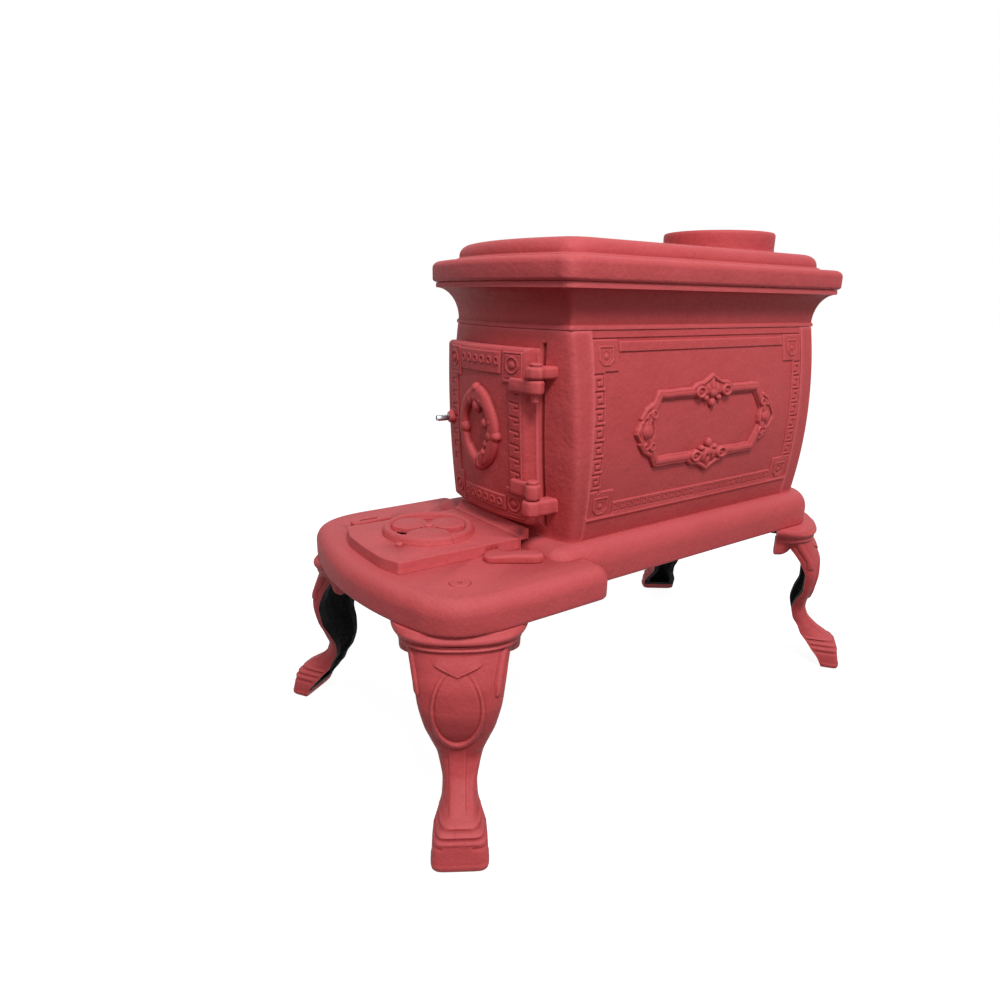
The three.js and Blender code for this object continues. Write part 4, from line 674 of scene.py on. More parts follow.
def end_wall(end):
    """The bowed front frame with its door opening, or the rear wall."""
    (left, right), (sill, head) = OPENING_X, OPENING_Z
    across = np.concatenate([
        -101 + np.linspace(0, 1, 4)[:-1], np.linspace(-100, left, 9)[:-1], np.linspace(left, right, 64)[:-1],
        np.linspace(right, 100, 29)[:-1], 100 + np.linspace(0, 1, 4),
    ])
    z = np.concatenate([np.linspace(SEAT_Z + GAP, sill, 10)[:-1], np.linspace(sill, head, 60)[:-1],
                        np.linspace(head, COVE_Z - GAP, 10)])
    outer, inner = [], []
    for level in z:
        plan, lean = end_plan(level, across, end)
        step = unit(np.gradient(plan, axis=0))
        normal = np.column_stack([-step[:, 1], step[:, 0]])
        drawn = plan + normal * WALL
        if end > 0:
            # a narrow groove in the shadow between the door's edge and the pillar
            groove = raised(np.abs(plan[:, 0] - 80.5) - 2.4, 1.6)
            groove = groove * smooth((level - 288) / 5) * smooth((497 - level) / 5)
            plan = plan + normal * (3.6 * groove)[:, None]
        for line, store in ((plan, outer), (drawn, inner)):
            y = lean + line[:, 1] if end > 0 else REAR_Y - line[:, 1]
            store.append(np.column_stack([line[:, 0], y, np.full(len(line), level)]))
    outer, inner = np.array(outer), np.array(inner)
    keep = np.ones((len(z) - 1, outer.shape[1] - 1), bool)
    if end > 0:
        # cells before the opening: the side run 5, the corner 8, the end of the bow 3, the pillar 8
        first = 5 + 8 + 3 + 8
        column = np.arange(outer.shape[1] - 1)
        inside = (column >= first) & (column < first + 63)
        rows = (z[:-1] >= sill - 1e-6) & (z[1:] <= head + 1e-6)
        keep[np.ix_(rows, inside)] = False
    return shell(outer, inner, keep)


def knuckle(radius, start, end):
    """The round nose of a hinge lug."""
    turn = np.radians(np.linspace(start, end, 30))
    return np.column_stack([HINGE[0] + radius * np.cos(turn), HINGE[1] + radius * np.sin(turn)])


def body_lug(z0, z1):
    arm = np.array([[98.5, -23.5], [99.0, -17], [99.0, 2], [84, 2], [80, -18]])
    plan = refined(np.concatenate([knuckle(KNUCKLE, 150, 352), arm]), 3.0)
    rough = 0.5 * waves(plan[:, 0] + z0, plan[:, 1], 31, 12.0, 5)
    return pillow(plan + unit(plan - HINGE) * rough[:, None], z0, z1, 3.6, 3.2)


piece(end_wall(1), "front_frame_cast", "stove", PRIMER, ["front_frame"])
for label, low, top in (("upper", 459.4, 472.4), ("lower", 309.0, 326.4)):
    shape = cut(body_lug(low, top), post(*HINGE, low - 5, top + 5, 4.7))
    piece(shape, f"frame_lug_{label}", "stove", PRIMER)
piece(end_wall(-1), "rear_panel_cast", "stove", PRIMER, ["rear_panel"])


# ---------------------------------------------------------------- top

def bowed_plan(half, front, back, corner=2.0, steps=72):
    """Plan with bowed ends, counterclockwise from the left end of the front."""
    flat = half - corner
    swell = lambda x: END_BOW * (1 - (x / half) ** 2)
    x = np.linspace(-flat, flat, steps + 1)
    bow = np.column_stack([x, -swell(x)])
    t = np.linspace(0, 1, 9)[1:, None]
    bends = (flat, -swell(flat)), (half, -swell(flat) / 2), (half, corner)
    start, knee, finish = (np.array(p) for p in bends)
    right = start * (1 - t) ** 2 + knee * 2 * t * (1 - t) + finish * t ** 2
    end = np.concatenate([(right * [-1, 1])[::-1], bow, right])
    run = np.linspace(0, 1, 26)[1:-1, None]
    ahead = end + [0, front]
    behind = end * [-1, -1] + [0, back]
    up = ahead[-1] + (behind[0] - ahead[-1]) * run
    down = behind[-1] + (ahead[0] - behind[-1]) * run
    return np.concatenate([ahead, up, behind, down])


def outer_plan(reach, corner):
    """The firebox's plan at its neck, moved outwards by a reach."""
    return bowed_plan(NECK_HALF + reach, -reach, REAR_Y + reach, corner)


def lid_ring(drawn, corner, z):
    """A ring of the top plate, drawn in from its overhanging edge."""
    return ring_at(outer_plan(OVERHANG - drawn, corner), z)


def cornice():
    """The hollow cove under the top plate."""
    top = FLANGE_Z - GAP
    profile = [(0.0, COVE_Z + 0.2), (0.4, COVE_Z + 0.6), (0.6, COVE_Z + 2.6), (0.1, COVE_Z + 4.2)]
    low, throat, fascia = COVE_Z + 5.7, 1.2, 20.6
    for t in np.linspace(0, math.pi / 2, 22):
        profile.append(((fascia + throat) * (1 - math.cos(t)) - throat, low + (top - 6 - low) * math.sin(t)))
    profile += [(fascia + 0.2, top - 4.0), (fascia, top - 0.8), (fascia - 0.6, top)]
    rings = [ring_at(outer_plan(reach, 4.0 + 0.45 * max(reach, 0)), z) for reach, z in profile]
    inner = outer_plan(-WALL, 2.0)
    rings += [ring_at(inner, top), ring_at(inner, COVE_Z + 0.2)]
    return loft(rings, closed=True)


def top_plate():
    """A soft-edged flange, a small step, and the raised field with its cook hole and flue hole."""
    under, lip, brow = 4.0, 8.5, 14.0
    rings = []
    for t in np.linspace(0, math.pi / 2, 6):
        rings.append(lid_ring(under * (1 - math.sin(t)), 15, FLANGE_Z + under * (1 - math.cos(t))))
    for t in np.linspace(0, math.pi / 2, 11):
        rings.append(lid_ring(lip * (1 - math.cos(t)), 15, FLANGE_TOP_Z - lip * (1 - math.sin(t))))
    for drawn, rise in ((17.0, 0.0), (18.6, 0.25), (19.8, 0.9), (20.6, 1.8), (21.4, 2.5),
                        (22.4, 2.9), (23.4, 3.4), (23.9, 4.2), (24.0, 5.2)):
        rings.append(lid_ring(drawn, 22, FLANGE_TOP_Z + rise))
    for t in np.linspace(0, math.pi / 2, 14):
        drawn = OVERHANG + brow * (1 - math.cos(t))
        rings.append(lid_ring(drawn, 22, PANEL_TOP_Z - brow * (1 - math.sin(t))))
    roof, clear = PANEL_TOP_Z - 7, PANEL_TOP_Z + 20
    return cut(
        loft(rings),
        loft([lid_ring(30, 4, z) for z in (FLANGE_Z - 20, roof)]),
        post(0, LID_Y, roof - 20, clear, 71, 96),
        post(0, LID_Y, PANEL_TOP_Z - 3.3, clear, 76.4, 128),
        post(0, COLLAR_Y, roof - 20, clear, 51, 96),
    )


piece(cornice(), "cornice_cast", "stove", PRIMER, ["cornice"])
piece(top_plate(), "top_plate_cast", "stove", PRIMER, ["top_plate"])

lid = turned(0, LID_Y, lifted(PANEL_TOP_Z, ((69.8, -6), (69.8, -3), (76, -3), (76, -0.8), (75.2, 0))), 128)
notch = pillow(softened([[-6, 70], [6, 70], [6, 92], [-6, 92]], 4), PANEL_TOP_Z - 3, PANEL_TOP_Z + 4, 0.1)
piece(cut(lid, notch), "cook_lid_cast", "lid", PRIMER, ["cook_lid"])


def flue_collar():
    """The pipe collar, slightly out of round, with an uneven bead of sealer at its foot."""
    z0 = PANEL_TOP_Z + GAP
    turn = np.linspace(0, 2 * math.pi, 144, endpoint=False)
    uneven = 0.5 + 0.5 * np.sin(turn * 7 + 1) * np.sin(turn * 3 + 2) + 0.3 * np.sin(turn * 19)
    profile = [(75.6, 0, 1.5), (75.9, 1.4, 1.0), (75.2, 3.0, 0.3), (74.7, 6, 0), (74.9, 16, 0),
               (75.0, 22.5, 0), (74.6, 25.2, 0), (73.4, 26.8, 0), (71.6, 27.1, 0), (69.9, 26.4, 0),
               (69, 24.6, 0), (69, 0, 0)]
    rings = []
    for radius, rise, lump in profile:
        r = radius + lump * uneven * 0.5
        plan = np.column_stack([r * np.cos(turn), COLLAR_Y + r * np.sin(turn)])
        rings.append(ring_at(plan, z0 + rise))
    ears = [box(x0, x0 + 19, COLLAR_Y - 8, COLLAR_Y + 8, z0, z0 + 6) for x0 in (-71, 52)]
    return join(loft(rings, closed=True), *ears)


piece(flue_collar(), "flue_collar_cast", "stove", PRIMER, ["flue_collar"])


# ---------------------------------------------------------------- base

def quarter(x, y, radius, start, steps=14):
    """A quarter circle into a rear corner at x and y, from a quarter turn on."""
    cx = x - math.copysign(radius, x)
    cy = y - radius
    turn = (math.pi / 2) * (start + np.linspace(0, 1, steps + 1))
    return np.column_stack([cx + radius * np.cos(turn), cy + radius * np.sin(turn)])


def hearth_plan():
    """The hearth: a bowed front, broad rounded corners and straight sides."""
    half, front_edge, bow, bow_end, reach = 172.0, -217.0, 39.0, 127.0, 68.0
    rise = lambda x: bow * (x / half) ** 2
    x = np.linspace(0, bow_end, 34)
    arc = np.column_stack([x, front_edge + rise(x)])
    end_y = front_edge + rise(bow_end)
    corner_y = end_y + 2 * bow * bow_end / half ** 2 * (half - bow_end)
    t = np.linspace(0, 1, 26)[1:, None]
    bends = (bow_end, end_y), (half, corner_y), (half, corner_y + reach)
    a, b, c = (np.array(p) for p in bends)
    bend = a * (1 - t) ** 2 + b * 2 * t * (1 - t) + c * t ** 2
    back = quarter(half, 24.0, 18.0, 0)
    run = np.linspace(bend[-1], back[0], 9)[1:-1]
    right = np.concatenate([arc, bend, run, back])
    left = (right[1:] * [-1, 1])[::-1]
    shut = np.linspace(right[-1], left[0], 20)[1:-1]
    return np.concatenate([right, shut, left])


def base_plan():
    """The raised part of the base under the firebox, round at its four corners."""
    half, front_edge, rear, bend = 136.2, -28.0, 479.0, 25.0
    right = quarter(half, rear, 48.0, 0, 20)
    left = quarter(-half, rear, 48.0, 1, 20)
    turn = np.radians(np.linspace(-90, 0, 15))
    near_right = [half - bend, front_edge + bend] + bend * np.column_stack([np.cos(turn), np.sin(turn)])
    near_left = (near_right * [-1, 1])[::-1]
    up = np.linspace(near_right[-1], right[0], 40)[1:-1]
    down = np.linspace(left[-1], near_left[0], 40)[1:-1]
    across = np.linspace(right[-1], left[0], 20)[1:-1]
    near = np.linspace(near_left[-1], near_right[0], 22)[1:-1]
    return np.concatenate([near_right, up, right, across, left, down, near_left, near])


def rounded_block(plan, z0, z1, inward, down, seed, steps=12):
    """A block with a broad rounded upper edge and a slightly uneven cast skin."""
    rings = [inset(plan, 1.4), inset(plan, 0.5), inset(plan, 0.1), plan]
    heights = [z0, z0 + 1.0, z0 + 2.4, z0 + 4.0]
    for t in np.linspace(0, math.pi / 2, steps + 1):
        rings.append(inset(plan, inward * (1 - math.cos(t))))
        heights.append(z1 - down * (1 - math.sin(t)))
    made = []
    for line, z in zip(rings, heights):
        wobble = 0.22 * waves(line[:, 0], line[:, 1], seed, 90.0) * (1 if z < z1 - 0.5 else 0)
        made.append(ring_at(line + unit(line) * wobble[:, None], z))
    return loft(made)


def seat_plan(front, back, steps):
    """The ground under the bowed front of the firebox, back to a straight line."""
    x = np.linspace(-FOOT_HALF, FOOT_HALF, steps)
    bow = np.column_stack([x, front - END_BOW * (1 - (x / FOOT_HALF) ** 2)])
    return np.concatenate([bow, [[FOOT_HALF, back], [-FOOT_HALF, back]]])


def stove_base():
    """Hearth, raised base, ash pit, bosses and guide rib in one casting, open underneath."""
    hearth = rounded_block(hearth_plan(), RIM_Z, HEARTH_Z, 17, 17, 3)
    body = rounded_block(base_plan(), RIM_Z, SEAT_Z, 21, 25, 4)
    seat = pillow(seat_plan(lean_at(SEAT_Z), FRONT_SEAM_Y, 60), HEARTH_Z - 8, SEAT_Z, 0.8)
    whole = join(hearth, body, seat)
    hollow = join(block(inset(hearth_plan(), 8), RIM_Z - 20, HEARTH_Z - 8),
                  block(inset(base_plan(), 8), RIM_Z - 20, SEAT_Z - 10))
    whole = cut(whole, hollow)
    outer = box(-90, 90, -188, 336, 238.5, HEARTH_Z - 0.3)
    pit = cut(outer, box(-84, 84, -182, 330, 230, HEARTH_Z + 8))
    front_bolts = [(s * FRONT_BOLT[0], FRONT_BOLT[1]) for s in (-1, 1)]
    rear_screws = [(s * REAR_SCREW[0], REAR_SCREW[1]) for s in (-1, 1)]
    bosses = [post(*spot, RIM_Z, HEARTH_Z - 7.7, 14) for spot in front_bolts]
    bosses += [post(*spot, RIM_Z, SEAT_Z - 9.7, 14) for spot in rear_screws]
    rib_plan = softened([[-106, -160], [-92, -160], [-92, -106], [-106, -106]], 3.5)
    whole = join(whole, pit, *bosses, pillow(rib_plan, HEARTH_Z - 2, HEARTH_Z + 9, 2.4))
    seat_rim = lifted(HEARTH_Z, ((11.2, -2.9), (11.2, -0.8), (12.6, 0.6)))
    slot_plan = softened([[-101, -150], [-96, -150], [-96, -126], [-101, -126]], 2)
    holes = []
    for bolt, screw in zip(front_bolts, rear_screws):
        holes.append(post(*bolt, RIM_Z - 20, SEAT_Z + 10, 4.4))
        holes.append(turned(*bolt, seat_rim))
        holes.append(post(*screw, RIM_Z - 20, RIM_Z + 25, 4.4))
    holes.append(box(-48, 44, -162, -50, HEARTH_Z - 28, SEAT_Z + 20))
    holes.append(box(-58, 58, 70, 250, SEAT_Z - 30, SEAT_Z + 20))
    holes.append(box(-65, 65, 63, 257, SEAT_Z - 5.4, SEAT_Z + 20))
    holes.append(pillow(slot_plan, HEARTH_Z + 3, HEARTH_Z + 20, 0.1))
    return cut(whole, *holes)


piece(stove_base(), "base_cast", "stove", PRIMER, ["base"])


# ---------------------------------------------------------------- legs

LEG_TOP_Z = RIM_Z - GAP
# Share of the height, then of LEG_REACH to the ridge and to the open back, then of LEG_HALF
LEG_STATIONS = np.array([
    [0, 0.967, 0.789, 0.385], [0.015, 1, 0.77, 0.53], [0.045, 1, 0.742, 0.538], [0.085, 0.986, 0.7, 0.535],
    [0.135, 0.967, 0.62, 0.51], [0.19, 0.925, 0.535, 0.425], [0.24, 0.826, 0.45, 0.356],
    [0.3, 0.657, 0.396, 0.345], [0.37, 0.53, 0.315, 0.4], [0.45, 0.484, 0.285, 0.48],
    [0.53, 0.502, 0.32, 0.598], [0.62, 0.549, 0.385, 0.71], [0.72, 0.577, 0.385, 0.81],
    [0.825, 0.568, 0.31, 0.885], [0.925, 0.498, 0.178, 0.96], [1, 0.432, 0.047, 1.035],
])
LEG_REACH, LEG_HALF, LEG_SHOULDER_Z = 106.5, 52.0, 207.5
LEG_WALL = 6.5
FACE_A = -2.6  # the ornament sits this far off the middle of the leg


def eased(at, known, values):
    """Smooth curve through known values that never overshoots them."""
    gap = np.diff(known)
    slope = np.diff(values) / gap
    tangent = np.zeros(len(known))
    same = slope[:-1] * slope[1:] > 0
    w1, w2 = 2 * gap[1:] + gap[:-1], gap[1:] + 2 * gap[:-1]
    with np.errstate(divide="ignore", invalid="ignore"):
        mean = (w1 + w2) / (w1 / slope[:-1] + w2 / slope[1:])
    tangent[1:-1] = np.where(same, mean, 0)
    tangent[0], tangent[-1] = slope[0], slope[-1]
    k = np.clip(np.searchsorted(known, at, side="right") - 1, 0, len(gap) - 1)
    t = (at - known[k]) / gap[k]
    return ((2 * t ** 3 - 3 * t ** 2 + 1) * values[k] + (t ** 3 - 2 * t ** 2 + t) * gap[k] * tangent[k]
            + (3 * t ** 2 - 2 * t ** 3) * values[k + 1] + (t ** 3 - t ** 2) * gap[k] * tangent[k + 1])


def leg_sizes(z):
    """How far the ridge and the open back of a leg stand out at a height, and its half width."""
    share = np.clip((z - SOLE_Z) / (LEG_SHOULDER_Z - SOLE_Z), 0, 1)
    ridge, opened, half = (eased(share, LEG_STATIONS[:, 0], LEG_STATIONS[:, k]) for k in (1, 2, 3))
    return ridge * LEG_REACH, opened * LEG_REACH, half * LEG_HALF


def leg_arc(ridge, opened, half, power, count):
    """The outline of a leg at one height, from one back edge round the ridge to the other."""
    turn = np.linspace(-math.pi / 2, math.pi / 2, 1201)
    x = opened + (ridge - opened) * np.abs(np.cos(turn)) ** power
    y = half * np.sign(np.sin(turn)) * np.abs(np.sin(turn)) ** power
    x[0] = x[-1] = opened
    run = np.concatenate([[0], np.cumsum(np.hypot(np.diff(x), np.diff(y)))])
    at = np.linspace(0, run[-1], count)
    return np.column_stack([np.interp(at, run, x), np.interp(at, run, y)])


def leg_relief(a, z, half):
    """Height of the ornament on a leg's face: a is across the leg, z the height."""
    u = a - FACE_A
    h = np.zeros_like(a)
    oval = sd_oval(u, z, 0, 151.5, 26.6, 43.5)
    inner = sd_oval(u, z, 0, 155.0, 22.8, 39.5)
    rim = raised(oval, 3.0) * (1 - raised(inner, 2.0))
    h += (1.5 + 1.5 * smooth((138 - z) / 26)) * rim
    h += 1.7 * dome(inner, 26.0) - 1.3 * raised(np.abs(inner) - 0.7, 2.0)
    lappet = sd_shape(u, z, [(-26, 216), (-26, 199.5), (0, 188.2), (26, 198.5), (26, 216)])
    lift = 2.6 * raised(lappet, 1.4) * smooth((209 - z) / 15) * smooth((27 - np.abs(u)) / 9)
    h = np.maximum(h, lift)
    for side in (-1, 1):
        path = ((50.5, 216), (46.2, 203), (43.4, 190), (41.0, 179), (39.6, 168))
        bead = sd_line(u, z, [(side * across, level) for across, level in path])
        h = np.maximum(h, 2.4 * dome(bead - 2.6, 2.6) * smooth((z - 162) / 8))
        groove = np.minimum(np.abs(bead - 4.4), 9)
        h -= 0.8 * raised(groove - 0.5, 1.8) * smooth((z - 168) / 12) * smooth((215 - z) / 6)
    ankle = smooth((106 - z) / 18) * smooth((z - 50) / 8)
    strip = np.abs(u)
    h -= 1.5 * ankle * smooth((strip - 7.4) / 2.2) * smooth((half - 1.0 - strip) / 4.5)
    h += (1.3 * np.exp(-((z - 48.5) / 1.3) ** 2) - 1.2 * np.exp(-((z - 45.4) / 1.2) ** 2)
          + 1.2 * np.exp(-((z - 42.0) / 1.4) ** 2) - 0.9 * np.exp(-((z - 38.6) / 1.2) ** 2)
          + 1.1 * np.exp(-((z - 35.6) / 1.5) ** 2))
    h -= 1.1 * np.exp(-((z - 30.6) / 1.3) ** 2) * smooth((strip - 12.5) / 3.5)
    h += 0.9 * smooth((15.5 - z) / 2.0) * smooth((z - 6) / 5)
    return h


def leg_solids():
    """The outer skin, its shoulder and the hollow of a leg, with the bolt at the origin."""
    count = 151
    sole = [SOLE_Z, SOLE_Z + 0.5, SOLE_Z + 1.2, SOLE_Z + 2.2]
    heights = np.concatenate([sole, np.linspace(9, LEG_SHOULDER_Z, 178)])
    rings = []
    for z in heights:
        ridge, opened, half = (float(v) for v in leg_sizes(np.array(z)))
        power = 0.8 - 0.52 * float(smooth((60 - z) / 20))
        arc = leg_arc(ridge, opened, half, power, count)
        step = unit(np.gradient(arc, axis=0))
        normal = np.column_stack([step[:, 1], -step[:, 0]])
        level = np.full(count, z)
        lift = leg_relief(arc[:, 1], level, half) * smooth((arc[:, 0] - opened) / 6)
        line = arc + normal * lift[:, None]
        rings.append(ring_at(line, z))
    rings.append(rings[-1] * [1, 1, 0] + [0, 0, LEG_SHOULDER_Z + 8])
    skin = loft(rings)

    def shoulder(drawn, back, levels):
        made = []
        for z, ridge, half in levels:
            made.append(ring_at(leg_arc(ridge - drawn, -8 - back, half - drawn, 0.8, 121), z))
        return loft(made)

    bands = [(189.4, 12, 59.0), (190.0, 15, 61.4), (191.6, 17, 63.0), (194.0, 19, 63.5), (203, 25, 63.8),
             (208.3, 36, 64.0), (209.6, 45.6, 64.3), (210.6, 47.4, 64.6), (211.8, 47.9, 64.9),
             (213.0, 47.2, 65.3), (214.2, 45.6, 65.9), (215.4, 45.0, 66.5), (216.6, 45.8, 67.2),
             (217.6, 48.0, 67.9), (218.8, 49.5, 68.7), (220.4, 50.3, 69.6), (222.0, 50.2, 70.4),
             (223.6, 49.3, 71.0), (225.0, 47.6, 71.3), (226.4, 45.4, 71.4), (LEG_TOP_Z, 43.6, 71.2)]
    outer = join(skin, shoulder(0, 0, bands))
    core = []
    for z in np.linspace(21, LEG_SHOULDER_Z + 7, 70):
        ridge, opened, half = (float(v) for v in leg_sizes(np.array(min(z, LEG_SHOULDER_Z))))
        back = opened - 30 if z < 165 else min(opened - 30, -14.0)
        core.append(ring_at(leg_arc(ridge - LEG_WALL, back, half - LEG_WALL, 0.8, 61), z))
    hollow = join(loft(core), shoulder(LEG_WALL, 30, [(214.2, 46.2, 70), (LEG_TOP_Z - 8, 44.2, 69)]))
    return outer, hollow


def leg_mesh():
    """Vertices, faces and inside flags of a leg whose bolt stands at the origin."""
    pad_z = LEG_TOP_Z - 8.5
    pad = join(post(0, 0, pad_z, LEG_TOP_Z, 14), box(0, 40, -14, 14, pad_z, LEG_TOP_Z))
    leg = cut(join(cut(*leg_solids()), pad), post(0, 0, 190, 240, 4.4))
    data = leg.data
    co = np.empty(len(data.vertices) * 3)
    data.vertices.foreach_get("co", co)
    points = co.reshape(-1, 3) / MM - SHIFT
    faces = [list(p.vertices) for p in data.polygons]
    centre = np.array([points[f].mean(0) for f in faces])
    facing = np.array([p.normal.x for p in data.polygons])
    cx, cy, cz = centre.T
    ridge, opened, half = leg_sizes(np.minimum(cz, LEG_SHOULDER_Z))

    def hollow(back, ridge_inside, half_inside):
        """True for faces within the outline of the hollow, or a little outside it."""
        reach = np.clip((cx - back) / (ridge_inside - back), 0, None) ** 2.5
        return reach + (np.abs(cy) / half_inside) ** 2.5 < 1.04

    low = hollow(opened - 30, ridge - LEG_WALL, half - LEG_WALL) & (cx > opened - 0.6) & (cz > 20.5)
    low |= (facing < -0.35) & (np.abs(cx - opened) < 4) & (cz > 16)
    high = hollow(-38.0, 39.9, 63.7) & (cx > -7.4) & (cz < LEG_TOP_Z - 7.6)
    inside = np.where(cz > LEG_SHOULDER_Z, high, low)
    bpy.data.objects.remove(leg)
    return points, faces, inside


def place_leg(name, points, faces, inside, x, y, turn, side):
    """Puts a leg at its fixing, mirrored for the left side."""
    angle = math.radians(turn)
    px = points[:, 0] * math.cos(angle) - points[:, 1] * math.sin(angle) + x
    py = points[:, 0] * math.sin(angle) + points[:, 1] * math.cos(angle) + y
    placed = np.column_stack([side * px, py, points[:, 2]])
    order = faces if side > 0 else [f[::-1] for f in faces]
    mesh = bpy.data.meshes.new(name)
    mesh.from_pydata(to_frame(placed).tolist(), [], order)
    mesh.materials.append(PRIMER)
    mesh.materials.append(BLACK)
    mesh.polygons.foreach_set("material_index", inside.astype(np.int32))
    obj = bpy.data.objects.new(name, mesh)
    bpy.context.scene.collection.objects.link(obj)
    piece(obj, f"{name}_cast", "stove", PRIMER, [name], crease=40)


leg_parts = leg_mesh()
for hand, side in (("right", 1), ("left", -1)):
    place_leg(f"leg_front_{hand}", *leg_parts, *FRONT_BOLT, FRONT_TURN, side)
    place_leg(f"leg_rear_{hand}", *leg_parts, *REAR_SCREW, REAR_TURN, side)
    spot = (side * FRONT_BOLT[0], FRONT_BOLT[1])
    head = turned(*spot, lifted(HEARTH_Z, (
        (4, -20), (4, -2.6), (10.8, -2.6), (10.8, 0.2), (10.2, 0.9), (8.6, 1.15), (4.2, 1.2),
        (2.8, 0.7), (2.2, -0.4), (0.4, -0.7))), 64)
    shank = post(*spot, RIM_Z - 17.6, HEARTH_Z - 15, 4.0, 32)
    piece(join(head, shank), f"leg_bolt_{hand}_round", "stove", PRIMER_BOLT, [f"leg_bolt_{hand}"])


# ---------------------------------------------------------------- door

def ring_row(x, z, x0, x1, pitch, cz, radius):
    """A row of small rolled rings, as a height between 0 and 1."""
    count = int(round((x1 - x0) / pitch))
    local = np.clip(np.round((x - x0) / pitch - 0.5), 0, count - 1)
    cx = x0 + (local + 0.5) * pitch
    d = np.hypot(x - cx, z - cz)
    ring = dome(np.abs(d - radius) - radius * 0.36, radius * 0.36)
    tail = sd_line(x - cx, z - cz, [(radius, 0), (radius * 1.25, -radius * 1.1)])
    return np.maximum(ring, 0.7 * dome(tail - 0.8, 0.8))


def wreath(x, z):
    """The oval wreath of the door with its fleur, beads, three-lobed knot and leaf."""
    cx, cz = -3.5, 394.0
    wobble = 0.7 * waves(x, z, 21, 26.0, 5)
    outer = sd_oval(x, z, cx, cz, 38.5, 50.0)
    inner = sd_oval(x, z, cx, cz - 1, 22.5, 30.5)
    rim = np.maximum(outer, -inner * 1.35) + wobble
    u, v = x - cx, z - cz
    h = domes(7.0 * dome(rim, 7.2), u, v, (
        (8.6, -28, -2, 9.2, 9.2, 8.6),
        (8.2, 0, 47, 6.4, 6.6, 6.2), (7.8, 1, 27, 7.4, 9.4, 7.0),
        (7.6, -11, 33, 6.6, 7.6, 6.2), (7.6, 11, 33, 6.6, 7.6, 6.2),
        (7.8, 18, 8, 7.6, 7.6, 7.6), (8.0, 35, -5, 6.6, 6.6, 6.6), (7.4, 20, -16, 6.8, 6.8, 6.8),
        (8.2, 27, -6, 8.4, 8.4, 8.4), (7.6, 28, 10, 6.6, 6.6, 6.6),
    ))
    leaf = sd_shape(u, v, [(-15, -20), (-2, -31), (14, -19), (23, -25),
                           (12, -47), (1, -52), (-13, -43), (-20, -30)])
    h = np.maximum(h, 8.6 * dome(leaf, 7.0))
    ribs = np.minimum(sd_line(u, v, [(0, -31), (1, -51)]), sd_line(u, v, [(6, -27), (9, -44)]))
    return h - 1.6 * raised(ribs - 0.9, 2.0) * (h > 3)


def door_relief(x, z):
    """Height of the door's ornament over its field."""
    u = np.abs(x)
    h = flats(np.zeros_like(x), x, z, 1.6, ((1.7, -40, 38, 460.5, 484.5, 1.0), (1.7, -42, 42, 303, 321, 1.0)))
    h = flats(h, u, z, 1.6, (
        (1.9, 42, 70, 452, 485.5, 1.0), (1.9, 45, 70, 297, 333, 1.0), (1.6, 52, 70, 300, 480, 1.0)))
    in_top = (np.abs(z - 474) < 7) & (x > -38) & (x < 36)
    h += np.where(in_top, 1.1 * ring_row(x, z, -38.5, 36.5, 13.0, 474.5, 3.7), 0)
    in_low = (np.abs(z - 312) < 7) & (u < 40)
    h += np.where(in_low, 1.1 * ring_row(x, z, -39, 39, 13.0, 312.0, 3.7), 0)
    for cz in (470.5, 313.0):
        h += 1.2 * dome(np.abs(sd_round(u, z, 57.0, cz + 1, 8.4)) - 1.3, 1.3)
        h += 1.8 * dome(sd_round(u, z, 57.0, cz + 1, 4.2), 4.0)
        frame_line = np.abs(sd_box(u, z, 45.0, 68.6, cz - 14, cz + 12.5, 1)) - 0.7
        h -= 0.7 * raised(frame_line, 1.2)
    lines = hooks(u, z, 53.0, 447.0, 16.0, 15.6, 7)
    h -= np.where((z < 449) & (z > 336), 1.3 * raised(lines - 0.9, 2.0), 0)
    h = np.maximum(h, wreath(x, z))
    boss = sd_round(x, z, *LATCH, 0)
    cone = np.clip((10.5 - boss) / 4.5, 0, 1) * 8.0
    cone = np.where(boss < 6.4, 8.0 - 0.5 * smooth((boss - 5.2) / 1.2), cone)
    return np.maximum(h, cone)


def door_solid():
    """The bowed slab of the door, stepped down at its hinge side, with a pocket for the liner."""
    x = np.concatenate([np.linspace(-88, -84, 7)[:-1], np.linspace(-84, 70, 257)[:-1],
                        np.linspace(70, 77.4, 15)])
    z = np.concatenate([np.linspace(291, 296, 9)[:-1], np.linspace(296, 485, 300)[:-1],
                        np.linspace(485, 490, 9)])
    x, z = np.meshgrid(x, z, indexing="ij")
    face = front_y(x, z)
    right = x - 70.5
    drop = 3.4 * smooth(right / 4.4) + 9.5 * smooth((right - 2.6) / 4.2)
    for edge, radius in (((-84.5 - x) / 3.5, 3.5), ((296 - z) / 5, 5.0), ((z - 485) / 5, 5.0)):
        t = np.clip(edge, 0, 1)
        drop = drop + radius * (1 - np.sqrt(np.clip(1 - t ** 2, 0, 1)))
    drop = np.minimum(drop, 16.2)
    swell = 0.14 * waves(x, z, 8, 70.0)
    out = face - DOOR_THICK + drop - door_relief(x, z) * (drop < 4) - swell
    front = np.stack([x, out, z], -1)
    pocket = raised(sd_box(x, z, -80, 73, 299, 482, 4), 1.2)
    for cz in (350, 432):
        pocket = pocket * (1 - 0.31 * raised(sd_round(x, z, 0, cz, 6.5), 1.0))
    back = np.stack([x, face - 0.9 - 10.1 * pocket, z], -1)
    return shell(front, back)


